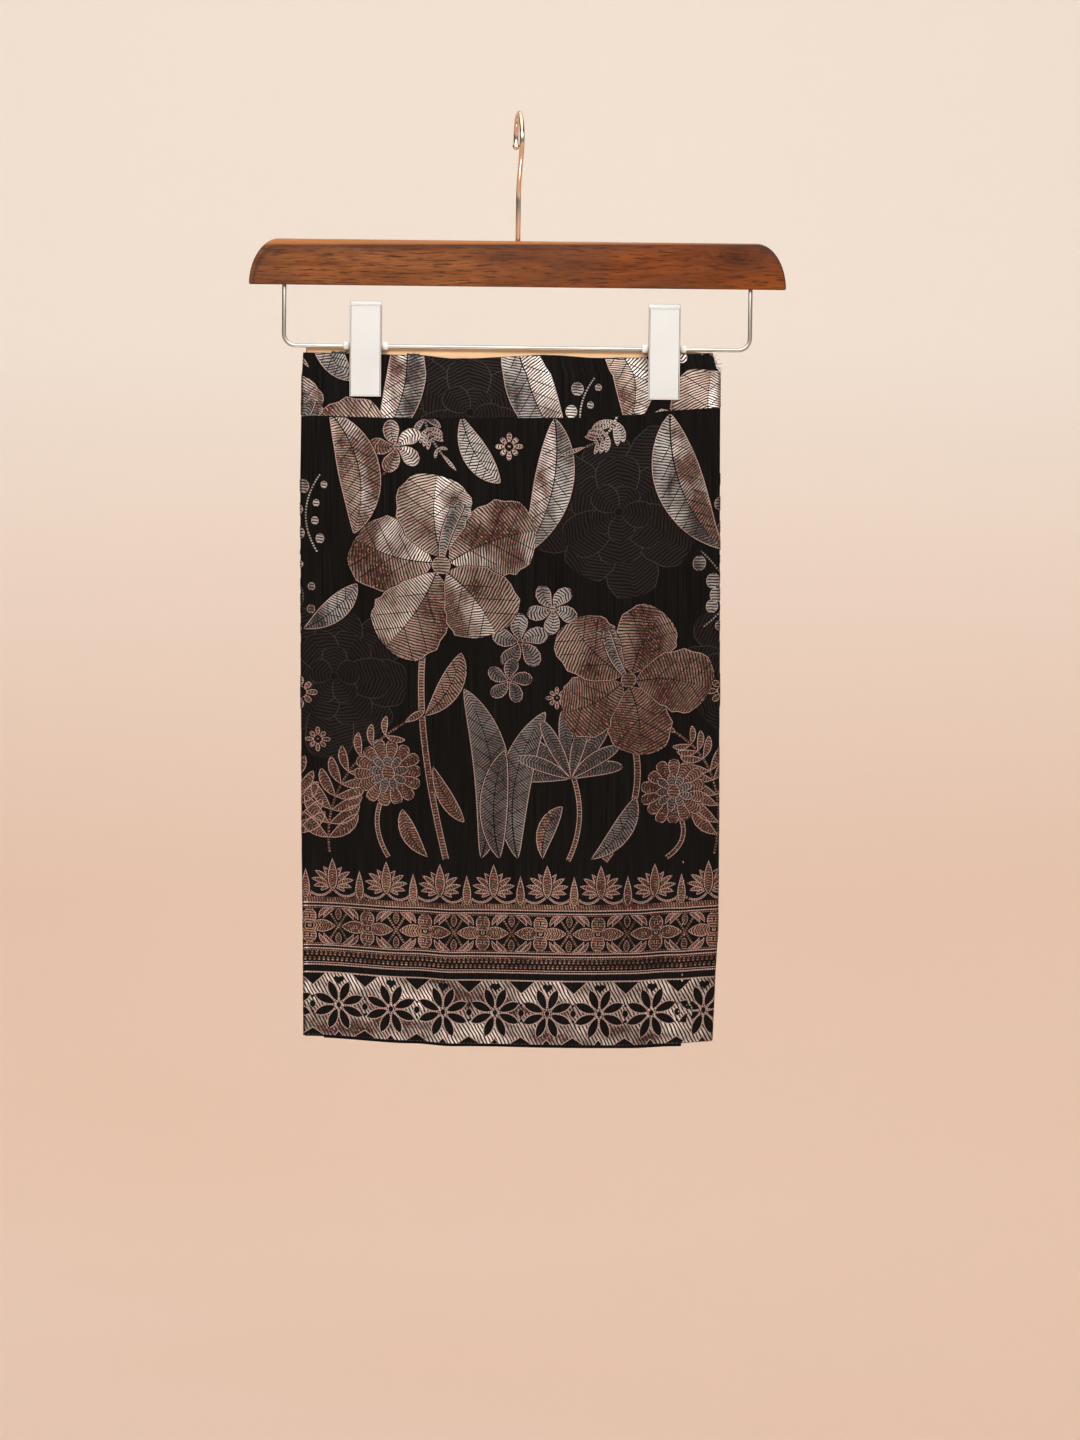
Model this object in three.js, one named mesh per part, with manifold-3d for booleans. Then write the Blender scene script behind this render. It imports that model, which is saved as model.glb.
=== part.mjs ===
// A samping, the short cloth worn round the hips, folded in four and hanging from a trouser clip hanger.
// Millimetres. The origin is where a rail carries the hook; +X is right, +Y is back and +Z is up.
import * as THREE from 'three';
import { mergeVertices } from 'three/addons/utils/BufferGeometryUtils.js';
import Module from 'manifold-3d';

const wasm = await Module();
wasm.setup();

// ---------------------------------------------------------------- driving dimensions

const clearance = 0.3;      // between pieces that lie on or turn in each other
const leanDegrees = 0.65;   // the loaded hanger hangs lower at its right end

const bar = { halfLength: 190, endReach: 21, height: 32, depth: 13, top: -89, edge: 1.2 };
const hook = { wire: 3.5, ring: 18, tipDegrees: -21, leaveDegrees: 205, turnDegrees: 7, tipBall: 2.6 };
const legs = { wire: 3, halfSpan: 165, bend: 8.2, level: -164.3, intoBar: 18 };
const clip = { width: 22.4, height: 66.7, sheet: 1.2, below: 34.6, reach: 8, ear: 1, earRise: 13 };
const clipPlaces = [{ name: 'left', x: -107 }, { name: 'right', x: 104.5 }];
const bush = { radius: 2.9, length: 4.2 };
const spring = { radius: 2.7, bore: 1.8, length: 14 };
const wireSides = 12;

const cloth = { wall: 1, seamGap: 0.3, foldSteps: 6, columns: 22 };

// Each layer's place across the stack, and how far its hem hangs under the front's.
const layers = {
  front: { y: -1.9, drop: 0, facing: -1 },
  inner: { y: 0.35, drop: 2.1, facing: 1 },
  tuck: { y: 1.1, drop: 1.4, facing: 1 },
  lining: { y: 3.6, drop: 0, facing: 1 },
  back: { y: 4.9, drop: -1, facing: 1 },
};
const innerFold = { left: -139.7, right: 115.5, wall: 2.5, split: 0.5, splitDepth: 8, tuckEnd: -148.6 };
const pinch = { start: 118, run: 9, by: 0.9 };   // past the inner fold the outer layers close up

// Heights along the cloth: top edge of the front, seam under the waistband, hem of the front.
const heights = [
  { x: -156, top: -167.6, seam: -212.6, hem: -654.5 },
  { x: -76, top: -169.4, seam: -214.4, hem: -658.8 },
  { x: -46, top: -172.0, seam: -214.3, hem: -661.0 },
  { x: 19, top: -169.5, seam: -214.2, hem: -662.2 },
  { x: 54, top: -171.5, seam: -214.0, hem: -662.2 },
  { x: 82, top: -171.4, seam: -211.9, hem: -662.4 },
  { x: 110, top: -168.9, seam: -208.8, hem: -661.2 },
  { x: 143, top: -168.1, seam: -207.1, hem: -659.5 },
];

// Where the two outer folds lie, from the top edge down.
const outline = [
  { z: -166, left: -153.2, right: 136.5 },
  { z: -179.9, left: -154.0, right: 140.1 },
  { z: -181.3, left: -154.3, right: 142.6 },
  { z: -255, left: -155.6, right: 142.4 },
  { z: -525, left: -155.3, right: 142.3 },
  { z: -580, left: -154.7, right: 141.8 },
  { z: -607, left: -154.6, right: 140.1 },
  { z: -662, left: -154.4, right: 137.7 },
];

// Soft upright folds, growing from `start` down to the hem. Negative depths come forward.
const swells = [
  { x: -122, width: 30, depth: 1.5, start: -260 },
  { x: -64, width: 27, depth: -1.9, start: -235 },
  { x: -8, width: 34, depth: 2.1, start: -290 },
  { x: 50, width: 28, depth: -1.8, start: -250 },
  { x: 98, width: 20, depth: 1.2, start: -230 },
];
const swellRun = 190;

const rows = {
  waistband: [0, 0.3, 0.345, 0.6, 1],
  body: [0, 0.05, 0.13, 0.22, 0.32, 0.42, 0.52, 0.62, 0.72, 0.81, 0.88, 0.94, 1],
};

// ---------------------------------------------------------------- materials

function finish(color, roughness, metalness) {
  return new THREE.MeshStandardMaterial({ color, roughness, metalness });
}

const materials = {
  brocade: () => finish(0x2c2524, 0.55, 0.1),
  waistband: () => finish(0x2a2423, 0.55, 0.1),
  facing: () => finish(0xe0b184, 0.8, 0),
  wood: () => finish(0x6b3d26, 0.45, 0),
  hookWire: () => finish(0xd9b9a4, 0.2, 1),
  steelWire: () => finish(0xcfcac4, 0.2, 1),
  plate: () => finish(0xe9e5df, 0.25, 0.6),
  bush: () => finish(0xf2f0ea, 0.4, 0),
  spring: () => finish(0xb8b6b2, 0.3, 1),
};

// ---------------------------------------------------------------- numbers

const radians = THREE.MathUtils.degToRad;
const mix = THREE.MathUtils.lerp;

function ease(t) {
  const c = THREE.MathUtils.clamp(t, 0, 1);
  return c * c * (3 - 2 * c);
}

/** The named column of a table at a value of its key column, in straight or eased runs between rows. */
function look(table, key, at, column, blend = (t) => t) {
  const sign = Math.sign(table[1][key] - table[0][key]);
  let row = 0;
  while (row < table.length - 2 && (table[row + 1][key] - at) * sign < 0) row += 1;
  const [a, b] = [table[row], table[row + 1]];
  const t = THREE.MathUtils.clamp((at - a[key]) / (b[key] - a[key]), 0, 1);
  return mix(a[column], b[column], blend(t));
}

const heightAt = (x, column) => look(heights, 'x', x, column, ease);
const leftAt = (z) => look(outline, 'z', z, 'left');
const rightAt = (z) => look(outline, 'z', z, 'right');
const freeEnd = leftAt(0) + 4;   // the back layer's free edge lies just inside the left fold

/** The height of the wire bar's middle over x, with the hanger's lean. */
const wireLevel = (x) => legs.level - x * Math.tan(radians(leanDegrees));

function swayAt(x, z) {
  return swells.reduce((sum, fold) => {
    const across = Math.exp(-(((x - fold.x) / fold.width) ** 2));
    return sum + fold.depth * across * ease((fold.start - z) / swellRun);
  }, 0);
}

/** Middle of a layer at x; the two outer layers close up beyond the inner fold. */
function layerMiddle(name, x) {
  const closing = { front: pinch.by, lining: -pinch.by, back: -pinch.by }[name] ?? 0;
  return layers[name].y + closing * ease((x - pinch.start) / pinch.run);
}

// ---------------------------------------------------------------- cloth walls

/** Top edge of a layer of the waistband: the back one stands up behind the wire, the others lie lower. */
function topEdge(name, x) {
  const behindWire = 1 + 1.4 * ease((x - 122) / 14);
  const innerTop = { inner: 0.9 * Math.cos((x + 98) / 9) - 0.6, tuck: -1.2 }[name] ?? 0;
  if (name === 'back' || name === 'lining') return wireLevel(x) - behindWire;
  return heightAt(x, 'top') + innerTop;
}

const edges = {
  waistband: {
    top: topEdge,
    bottom: (name, x) => heightAt(x, 'seam') + cloth.seamGap / 2,
  },
  body: {
    top: (name, x) => heightAt(x, 'seam') - cloth.seamGap / 2,
    bottom: (name, x) => heightAt(x, 'hem') - layers[name].drop,
  },
};

/** A straight run of stations along one layer. from and to are x, or an edge's name. */
function run(name, from, to, steps = cloth.columns) {
  const end = (limit, z) => {
    if (limit === 'left') return leftAt(z) + turnRadius('left') + cloth.wall / 2;
    if (limit === 'right') return rightAt(z) - turnRadius('right') - cloth.wall / 2;
    return limit;
  };
  return Array.from({ length: steps + 1 }, (_, i) => ({
    layer: name,
    place: (z) => {
      const x = mix(end(from, z), end(to, z), i / steps);
      return { x, y: layerMiddle(name, x), nx: 0, ny: layers[name].facing };
    },
  }));
}

function turnRadius(side) {
  const [a, b] = { right: ['front', 'back'], left: ['front', 'tuck'] }[side];
  const x = side === 'right' ? rightAt(0) : leftAt(0);
  return (layerMiddle(b, x + (side === 'right' ? pinch.run : 0)) - layerMiddle(a, x)) / 2;
}

/** The stations round an outer fold, between the two layers that it joins, clockwise from above. */
function turn(side, steps = cloth.foldSteps) {
  const right = side === 'right';
  const [first, last] = right ? ['back', 'front'] : ['front', 'tuck'];
  const radius = turnRadius(side);
  const reach = radius + cloth.wall / 2;
  const far = right ? rightAt(0) : leftAt(0);
  const middle = (layerMiddle('front', far) + layerMiddle(right ? 'back' : 'tuck', far)) / 2;
  return Array.from({ length: steps - 1 }, (_, i) => {
    const t = (i + 1) / steps;
    const angle = Math.PI * ((right ? 0.5 : -0.5) - t);
    const centre = (z) => (right ? rightAt(z) - reach : leftAt(z) + reach);
    return {
      layer: first,
      next: last,
      t,
      place: (z) => ({
        x: centre(z) + radius * Math.cos(angle),
        y: middle + radius * Math.sin(angle),
        nx: Math.cos(angle),
        ny: Math.sin(angle),
      }),
    };
  });
}

/** A station's height on a piece, at a share of the way from its top edge down. */
function stationHeight(station, piece, share) {
  const x = station.place(0).x;
  const level = (name) => mix(edges[piece].top(name, x), edges[piece].bottom(name, x), share);
  return station.next ? mix(level(station.layer), level(station.next), station.t) : level(station.layer);
}

/** Joins a grid of points on two sides of a wall into one closed body. */
function closedWall(columns, rowCount, point) {
  const positions = [];
  const index = [];
  const id = (i, j, side) => (i * rowCount + j) * 2 + side;
  for (let i = 0; i < columns; i += 1) {
    for (let j = 0; j < rowCount; j += 1) {
      positions.push(...point(i, j, 1), ...point(i, j, -1));
    }
  }
  const quad = (a, b, c, d) => index.push(a, c, b, a, d, c);
  for (let i = 0; i < columns - 1; i += 1) {
    for (let j = 0; j < rowCount - 1; j += 1) {
      quad(id(i, j, 0), id(i, j + 1, 0), id(i + 1, j + 1, 0), id(i + 1, j, 0));
      quad(id(i, j, 1), id(i + 1, j, 1), id(i + 1, j + 1, 1), id(i, j + 1, 1));
    }
    const last = rowCount - 1;
    quad(id(i, 0, 0), id(i + 1, 0, 0), id(i + 1, 0, 1), id(i, 0, 1));
    quad(id(i, last, 0), id(i, last, 1), id(i + 1, last, 1), id(i + 1, last, 0));
  }
  for (let j = 0; j < rowCount - 1; j += 1) {
    const end = columns - 1;
    quad(id(0, j, 0), id(0, j, 1), id(0, j + 1, 1), id(0, j + 1, 0));
    quad(id(end, j, 0), id(end, j + 1, 0), id(end, j + 1, 1), id(end, j, 1));
  }
  const geometry = new THREE.BufferGeometry();
  geometry.setAttribute('position', new THREE.Float32BufferAttribute(positions, 3));
  geometry.setIndex(index);
  return geometry;
}

/** A wall of cloth through the stations, between two edges of a piece, or between shares past them. */
function clothWall(piece, stations, { wall = cloth.wall, shares = rows[piece], thin = () => 1 } = {}) {
  const point = (i, j, side) => {
    const z = stationHeight(stations[i], piece, shares[j]);
    const { x, y, nx, ny } = stations[i].place(z);
    const half = (side * wall * thin(i)) / 2;
    return [x + nx * half, y + ny * half + swayAt(x, z), z];
  };
  return closedWall(stations.length, shares.length, point);
}

/** The stretch that shows: back, right fold, front, left fold and a short way in behind it. */
function outerStations() {
  return [
    ...run('back', freeEnd, 'right'),
    ...turn('right'),
    ...run('front', 'right', 'left'),
    ...turn('left'),
    ...run('tuck', 'left', innerFold.tuckEnd, 1),
  ];
}

/** The two hidden layers as one solid with a rounded fold, split into layers at its edges. */
function innerPair(piece) {
  const roundSteps = [0.5, 0.85, 0.99];   // shares of the fold's half thickness, out to its right
  const half = innerFold.wall / 2;
  const straightEnd = innerFold.right - half;
  const flat = run('inner', innerFold.tuckEnd + clearance, straightEnd);
  const rounded = roundSteps.map((t) => run('inner', straightEnd, straightEnd + half * t, 1)[1]);
  const shrink = [...flat.map(() => 1), ...roundSteps.map((t) => Math.sqrt(1 - t * t))];
  const options = { wall: innerFold.wall, thin: (i) => shrink[i] };
  const slab = solid(clothWall(piece, [...flat, ...rounded], options));
  const split = solid(edgeSplit(piece, straightEnd));
  return slab.subtract(split).subtract(solid(leftClearing()));
}

/** The slit that parts the two hidden layers along the open edge of a piece. */
function edgeSplit(piece, end) {
  const past = 0.1;
  const height = edges[piece].top('inner', 0) - edges[piece].bottom('inner', 0);
  const share = innerFold.splitDepth / height;
  const shares = { waistband: [-past, share], body: [1 - share, 1 + past] }[piece];
  return clothWall(piece, run('inner', innerFold.tuckEnd - 1, end), { wall: innerFold.split, shares });
}

/** A block that clears the front one of the hidden layers, which ends short of the left fold. */
function leftClearing() {
  const size = { x: 20, y: 10, z: 700 };
  const back = layers.inner.y + innerFold.wall / 2 - cloth.wall;
  const block = new THREE.BoxGeometry(size.x, size.y, size.z);
  return block.translate(innerFold.left - size.x / 2, back - size.y / 2, -size.z / 2);
}

/** The tan strip inside the back of the waistband, stopping short of the right fold. */
function facingWall() {
  return clothWall('waistband', run('lining', freeEnd, 'right').slice(0, -1));
}

// ---------------------------------------------------------------- solids

/** A closed mesh as a solid for joining and cutting. */
function solid(geometry) {
  const bare = geometry.clone();
  bare.deleteAttribute('normal');
  bare.deleteAttribute('uv');
  const welded = mergeVertices(bare, 1e-4);
  return new wasm.Manifold(new wasm.Mesh({
    numProp: 3,
    vertProperties: welded.attributes.position.array,
    triVerts: new Uint32Array(welded.index.array),
  }));
}

function toGeometry(manifold) {
  const mesh = manifold.getMesh();
  const geometry = new THREE.BufferGeometry();
  geometry.setAttribute('position', new THREE.BufferAttribute(mesh.vertProperties, 3));
  geometry.setIndex(new THREE.BufferAttribute(mesh.triVerts, 1));
  return geometry;
}

// ---------------------------------------------------------------- wire

/** A path with its stations where they are given, so that straight runs cost no faces. */
class Stations extends THREE.Curve {
  constructor(points) {
    super();
    this.points = points;
  }

  getPoint(t, target = new THREE.Vector3()) {
    const last = this.points.length - 1;
    const place = THREE.MathUtils.clamp(t, 0, 1) * last;
    const i = Math.min(Math.floor(place), last - 1);
    return target.lerpVectors(this.points[i], this.points[i + 1], place - i);
  }

  getPointAt(u, target) {
    return this.getPoint(u, target);
  }

  getTangentAt(u, target = new THREE.Vector3()) {
    const last = this.points.length - 1;
    const i = Math.round(u * last);
    const ahead = this.points[Math.min(i + 1, last)];
    return target.subVectors(ahead, this.points[Math.max(i - 1, 0)]).normalize();
  }
}

/** A round wire through the points. */
function wireGeometry(points, diameter) {
  const section = new THREE.Shape();
  section.absarc(0, 0, diameter / 2, 0, 2 * Math.PI);
  return new THREE.ExtrudeGeometry(section, {
    extrudePath: new Stations(points),
    steps: points.length - 1,
    curveSegments: wireSides / 2,
  });
}

/** Points on an arc in the YZ plane, angles from +Y towards +Z. */
function arcPoints(radius, centreZ, fromDegrees, toDegrees, steps) {
  return Array.from({ length: steps + 1 }, (_, i) => {
    const angle = radians(mix(fromDegrees, toDegrees, i / steps));
    return new THREE.Vector3(0, radius * Math.cos(angle), centreZ + radius * Math.sin(angle));
  });
}

const hookCentre = hook.wire / 2 - hook.ring;

/** The hook's middle line: from the tip behind the rail, over it, and back under to the stem. */
function hookPath() {
  const ringSteps = 20;
  const ring = arcPoints(hook.ring, hookCentre, hook.tipDegrees, hook.leaveDegrees, ringSteps);
  const leave = ring[ring.length - 1];
  const stemTop = new THREE.Vector3(0, 0, -60);
  const leaving = radians(hook.leaveDegrees + 90);
  const pull = 15;
  const sweep = new THREE.CubicBezierCurve3(
    leave,
    new THREE.Vector3(0, leave.y + pull * Math.cos(leaving), leave.z + pull * Math.sin(leaving)),
    new THREE.Vector3(0, 0, stemTop.z + pull),
    stemTop,
  );
  const stemEnd = new THREE.Vector3(0, 0, bar.top - legs.intoBar);
  return [...ring, ...sweep.getPoints(9).slice(1), stemEnd];
}

function hookMesh() {
  const wire = solid(wireGeometry(hookPath(), hook.wire));
  const tip = arcPoints(hook.ring, hookCentre, hook.tipDegrees, 0, 1)[0];
  const ball = new THREE.SphereGeometry(hook.tipBall, 12, 8).translate(tip.x, tip.y, tip.z);
  const mesh = new THREE.Mesh(toGeometry(wire.add(solid(ball))), materials.hookWire());
  mesh.name = 'hook';
  mesh.rotation.z = radians(hook.turnDegrees);
  return mesh;
}

/** The lower wire: a wide U, its two legs let into the wooden bar. */
function legPath() {
  const bendSteps = 5;
  const up = bar.top - bar.height + legs.intoBar;
  const side = (sign) => {
    const bend = Array.from({ length: bendSteps + 1 }, (_, i) => {
      const angle = (Math.PI / 2) * (i / bendSteps);
      const x = legs.halfSpan - legs.bend * (1 - Math.cos(angle));
      return new THREE.Vector3(sign * x, 0, legs.level + legs.bend * (1 - Math.sin(angle)));
    });
    return [new THREE.Vector3(sign * legs.halfSpan, 0, up), ...bend];
  };
  return [...side(-1), ...side(1).reverse()];
}

function legsMesh() {
  const mesh = new THREE.Mesh(wireGeometry(legPath(), legs.wire), materials.steelWire());
  mesh.name = 'wire_bar';
  return mesh;
}

// ---------------------------------------------------------------- wooden bar

function barOutline() {
  const flat = bar.halfLength - bar.endReach;
  const bottom = bar.top - bar.height;
  const shape = new THREE.Shape();
  shape.moveTo(-bar.halfLength, bottom);
  shape.lineTo(bar.halfLength, bottom);
  shape.absellipse(flat, bottom, bar.endReach, bar.height, 0, Math.PI / 2, false);
  shape.lineTo(-flat, bar.top);
  shape.absellipse(-flat, bottom, bar.endReach, bar.height, Math.PI / 2, Math.PI, false);
  return shape;
}

/** A socket for a wire, from a face of the bar inwards. */
function socket(x, mouth, diameter, depth) {
  const past = 5;
  const length = depth + past;
  const hole = new THREE.CylinderGeometry(diameter / 2, diameter / 2, length, 12).rotateX(Math.PI / 2);
  const inwards = Math.sign(bar.top - bar.height / 2 - mouth);
  return solid(hole.translate(x, 0, mouth + inwards * (depth - length / 2)));
}

function barMesh() {
  const block = new THREE.ExtrudeGeometry(barOutline(), {
    depth: bar.depth - 2 * bar.edge,
    bevelThickness: bar.edge,
    bevelSize: bar.edge,
    bevelOffset: -bar.edge,
    bevelSegments: 2,
    curveSegments: 8,
  });
  block.rotateX(Math.PI / 2).translate(0, bar.depth / 2 - bar.edge, 0);
  const bottom = bar.top - bar.height;
  const wiggle = 2 * clearance;
  const sockets = [
    socket(0, bar.top, hook.wire + wiggle, legs.intoBar + clearance),
    socket(-legs.halfSpan, bottom, legs.wire + wiggle, legs.intoBar + clearance),
    socket(legs.halfSpan, bottom, legs.wire + wiggle, legs.intoBar + clearance),
  ];
  const drilled = sockets.reduce((body, hole) => body.subtract(hole), solid(block));
  const mesh = new THREE.Mesh(toGeometry(drilled), materials.wood());
  mesh.name = 'hanger_bar';
  return mesh;
}

// ---------------------------------------------------------------- clips

/** How far a plate turns about the wire so that its lower end just clears the cloth at distance grip. */
function plateTilt(grip) {
  const arm = Math.hypot(clip.reach, clip.below);
  return Math.atan2(clip.reach, clip.below) - Math.asin(grip / arm);
}

/** An ear: a flange from the plate that goes over and round the wire. */
function earGeometry(x) {
  const bore = legs.wire / 2 + clearance;
  const collar = bore + clip.ear;
  const shape = new THREE.Shape();
  shape.moveTo(-clip.reach - clip.sheet / 2, 0);
  shape.lineTo(-bore, 0);
  shape.absarc(0, 0, bore, Math.PI, 0, true);
  shape.lineTo(collar, 0);
  shape.absarc(0, 0, collar, 0, Math.PI / 2, false);
  shape.lineTo(-clip.reach - clip.sheet / 2, clip.earRise);
  const flange = new THREE.ExtrudeGeometry(shape, { depth: clip.sheet, bevelEnabled: false, curveSegments: 6 });
  const across = new THREE.Vector3(1, 0, 0);
  const back = new THREE.Vector3(0, 1, 0);
  const up = new THREE.Vector3(0, 0, 1);
  flange.applyMatrix4(new THREE.Matrix4().makeBasis(back, up, across));
  return solid(flange.translate(x - clip.sheet / 2, 0, 0));
}

/** One sprung plate with its two ears, its pivot at the wire's middle. */
function plateGeometry(earInset) {
  const edge = 0.3;
  const face = new THREE.Shape();
  const [half, top] = [clip.width / 2, clip.height - clip.below];
  face.moveTo(-half, -clip.below);
  face.lineTo(half, -clip.below);
  face.lineTo(half, top);
  face.lineTo(-half, top);
  const plate = new THREE.ExtrudeGeometry(face, {
    depth: clip.sheet - 2 * edge,
    bevelThickness: edge,
    bevelSize: edge,
    bevelOffset: -edge,
    bevelSegments: 1,
  });
  plate.rotateX(Math.PI / 2).translate(0, -clip.reach - edge, 0);
  const earX = half - clip.sheet / 2 - earInset;
  return toGeometry(solid(plate).add(earGeometry(-earX)).add(earGeometry(earX)));
}

function clipGroup({ name, x }) {
  const group = new THREE.Group();
  group.position.set(x, 0, legs.level);
  const gripFront = -(layers.front.y - cloth.wall / 2 - clearance);
  const gripBack = layers.back.y + cloth.wall / 2 + clearance;

  const front = new THREE.Mesh(plateGeometry(0), materials.plate());
  front.name = `clip_${name}_front`;
  front.rotation.x = plateTilt(gripFront);
  const back = new THREE.Mesh(plateGeometry(clip.sheet + clearance), materials.plate());
  back.name = `clip_${name}_back`;
  back.rotation.set(-plateTilt(gripBack), 0, Math.PI);
  group.add(front, back, springMesh(name));
  for (const [side, sign] of [['a', -1], ['b', 1]]) {
    group.add(bushMesh(`bush_${name}_${side}`, sign * (clip.width / 2 + clearance + bush.length / 2)));
  }
  return group;
}

/** A short tube on the wire, from a profile that closes on itself. */
function sleeve(inner, outer, length) {
  const half = length / 2;
  const corners = [[inner, -half], [outer, -half], [outer, half], [inner, half], [inner, -half]];
  const profile = corners.map(([radius, along]) => new THREE.Vector2(radius, along));
  return new THREE.LatheGeometry(profile, 14).rotateZ(Math.PI / 2);
}

function springMesh(name) {
  const mesh = new THREE.Mesh(sleeve(spring.bore, spring.radius, spring.length), materials.spring());
  mesh.name = `spring_${name}`;
  return mesh;
}

function bushMesh(name, x) {
  const mesh = new THREE.Mesh(sleeve(legs.wire / 2 + clearance, bush.radius, bush.length), materials.bush());
  mesh.name = name;
  mesh.position.x = x;
  return mesh;
}

// ---------------------------------------------------------------- the whole

function clothMesh(name, geometry, material) {
  const mesh = new THREE.Mesh(geometry, material);
  mesh.name = name;
  return mesh;
}

const part = new THREE.Group();

const hanger = new THREE.Group();
hanger.rotation.y = radians(leanDegrees);
hanger.add(barMesh(), hookMesh(), legsMesh(), ...clipPlaces.map(clipGroup));

const garment = new THREE.Group();
garment.add(
  clothMesh('body_outer', clothWall('body', outerStations()), materials.brocade()),
  clothMesh('body_inner', toGeometry(innerPair('body')), materials.brocade()),
  clothMesh('waistband_outer', clothWall('waistband', outerStations()), materials.waistband()),
  clothMesh('waistband_inner', toGeometry(innerPair('waistband')), materials.waistband()),
  clothMesh('waistband_facing', facingWall(), materials.facing()),
);

part.add(hanger, garment);

export default part;
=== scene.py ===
"""A samping, folded in four, hanging from the two clips of a wooden trouser hanger."""

import math
import random

import bmesh
import bpy
import numpy as np
from mathutils import Matrix, Vector


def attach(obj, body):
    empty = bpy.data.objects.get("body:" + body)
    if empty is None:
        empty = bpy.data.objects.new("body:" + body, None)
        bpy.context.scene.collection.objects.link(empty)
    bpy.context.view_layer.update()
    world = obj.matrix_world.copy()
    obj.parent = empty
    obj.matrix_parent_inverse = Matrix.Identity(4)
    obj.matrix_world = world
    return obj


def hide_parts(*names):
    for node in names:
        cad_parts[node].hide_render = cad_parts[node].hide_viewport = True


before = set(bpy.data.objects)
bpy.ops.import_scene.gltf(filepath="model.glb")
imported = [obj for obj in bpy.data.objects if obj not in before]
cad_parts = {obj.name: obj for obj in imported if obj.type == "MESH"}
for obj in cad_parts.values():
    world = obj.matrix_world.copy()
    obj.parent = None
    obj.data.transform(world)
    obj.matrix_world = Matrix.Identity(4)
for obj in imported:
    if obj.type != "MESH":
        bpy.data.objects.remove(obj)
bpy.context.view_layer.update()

MM = 0.001  # every table below is in millimetres

# ---- sizes shared with the solids

LEAN = math.radians(0.65)
BAR = {"half": 190, "reach": 21, "height": 32, "depth": 13, "top": -89, "edge": 1.2}
HOOK = {"wire": 3.5, "ring": 18, "tip": -21, "leave": 205, "turn": 7, "ball": 2.6, "stem": -60}
LEGS = {"wire": 3, "half": 165, "bend": 8.2, "level": -164.3, "into": 18}
CLIP = {"width": 22.4, "height": 66.7, "sheet": 1.2, "below": 34.6, "reach": 8, "ear": 1, "rise": 13}
CLIPS = {"left": -107, "right": 104.5}
BUSH = {"radius": 2.9, "length": 4.2}
SPRING = {"radius": 2.7, "length": 14}
CLEAR = 0.3

LAYER_Y = {"front": -1.9, "under": -0.4, "tuck": 1.1, "lining": 3.6, "back": 4.9}
LAYER_DROP = {"front": 0, "under": 2.1, "tuck": 1.4, "back": -1}
INNER = {"left": -139.7, "right": 115.5}
PINCH = {"start": 117.0, "run": 5.0, "by": 0.9}
FREE_END = -151.2

HEIGHTS = {  # along x: top edge of the front, seam under the waistband, hem of the front
    "x": [-156, -76, -46, 19, 54, 82, 110, 143],
    "top": [-167.6, -169.4, -172.0, -169.5, -171.5, -171.4, -168.9, -168.1],
    "seam": [-212.6, -214.4, -214.3, -214.2, -214.0, -211.9, -208.8, -207.1],
    "hem": [-654.5, -658.8, -661.0, -662.2, -662.2, -662.4, -661.2, -659.5],
}
OUTLINE = {  # down the cloth: the outer folds
    "z": [-166, -179.9, -181.3, -255, -525, -580, -607, -662],
    "left": [-153.2, -154.0, -154.3, -155.6, -155.3, -154.7, -154.6, -154.4],
    "right": [136.5, 140.1, 142.6, 142.4, 142.3, 141.8, 140.1, 137.7],
}
SWELLS = [  # soft upright folds: x, width, depth (negative comes forward), start height
    (-122, 30, 1.5, -260),
    (-64, 27, -1.9, -235),
    (-8, 34, 2.1, -290),
    (50, 28, -1.8, -250),
    (98, 20, 1.2, -230),
]
SWELL_RUN = 190
CURL = {"from": -612, "run": 55, "by": -2.2}  # the hem stands a little forward
CREASES = [  # soft small troughs and ridges: x, z, half length, half width, lean in degrees, depth
    (-96, -238, 28, 8, 8, 0.6),
    (-118, -248, 30, 8, -14, -0.55),
    (92, -236, 26, 8, -6, 0.6),
    (112, -252, 34, 8, 10, -0.6),
    (-20, -226, 9, 24, 4, 0.4),
    (38, -224, 9, 22, -3, -0.35),
    (-140, -420, 70, 8, 2, -0.6),
    (8, -560, 60, 10, -5, 0.6),
    (-92, -600, 50, 9, 6, -0.7),
    (74, -585, 55, 9, -7, 0.65),
    (128, -470, 90, 8, 1, -0.6),
    (-40, -350, 60, 12, 18, 0.4),
    (30, -430, 60, 12, -16, -0.4),
]

CLOTH = {"wall": 0.8, "body_rows": 106, "band_rows": 12, "step": 4.2, "turn_steps": 8}
BODY_HEIGHT, BAND_HEIGHT = 450.0, 45.0
TILE = 300.0  # width of one repeat of the woven design


def ease(t):
    c = np.clip(t, 0, 1)
    return c * c * (3 - 2 * c)


def eased(at, xs, values):
    """Values between table rows, eased so that rows leave no kinks."""
    at, xs, values = (np.asarray(part, float) for part in (at, xs, values))
    row = np.clip(np.searchsorted(xs, at) - 1, 0, len(xs) - 2)
    t = ease((at - xs[row]) / (xs[row + 1] - xs[row]))
    return values[row] + (values[row + 1] - values[row]) * t


def outline_at(z, side):
    """Where the outer fold of one side lies at a height."""
    return np.interp(-np.asarray(z, float), [-value for value in OUTLINE["z"]], OUTLINE[side])


def wire_level(x):
    """The height of the lower wire, which leans with the hanger."""
    return LEGS["level"] - x * math.tan(LEAN)


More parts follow.
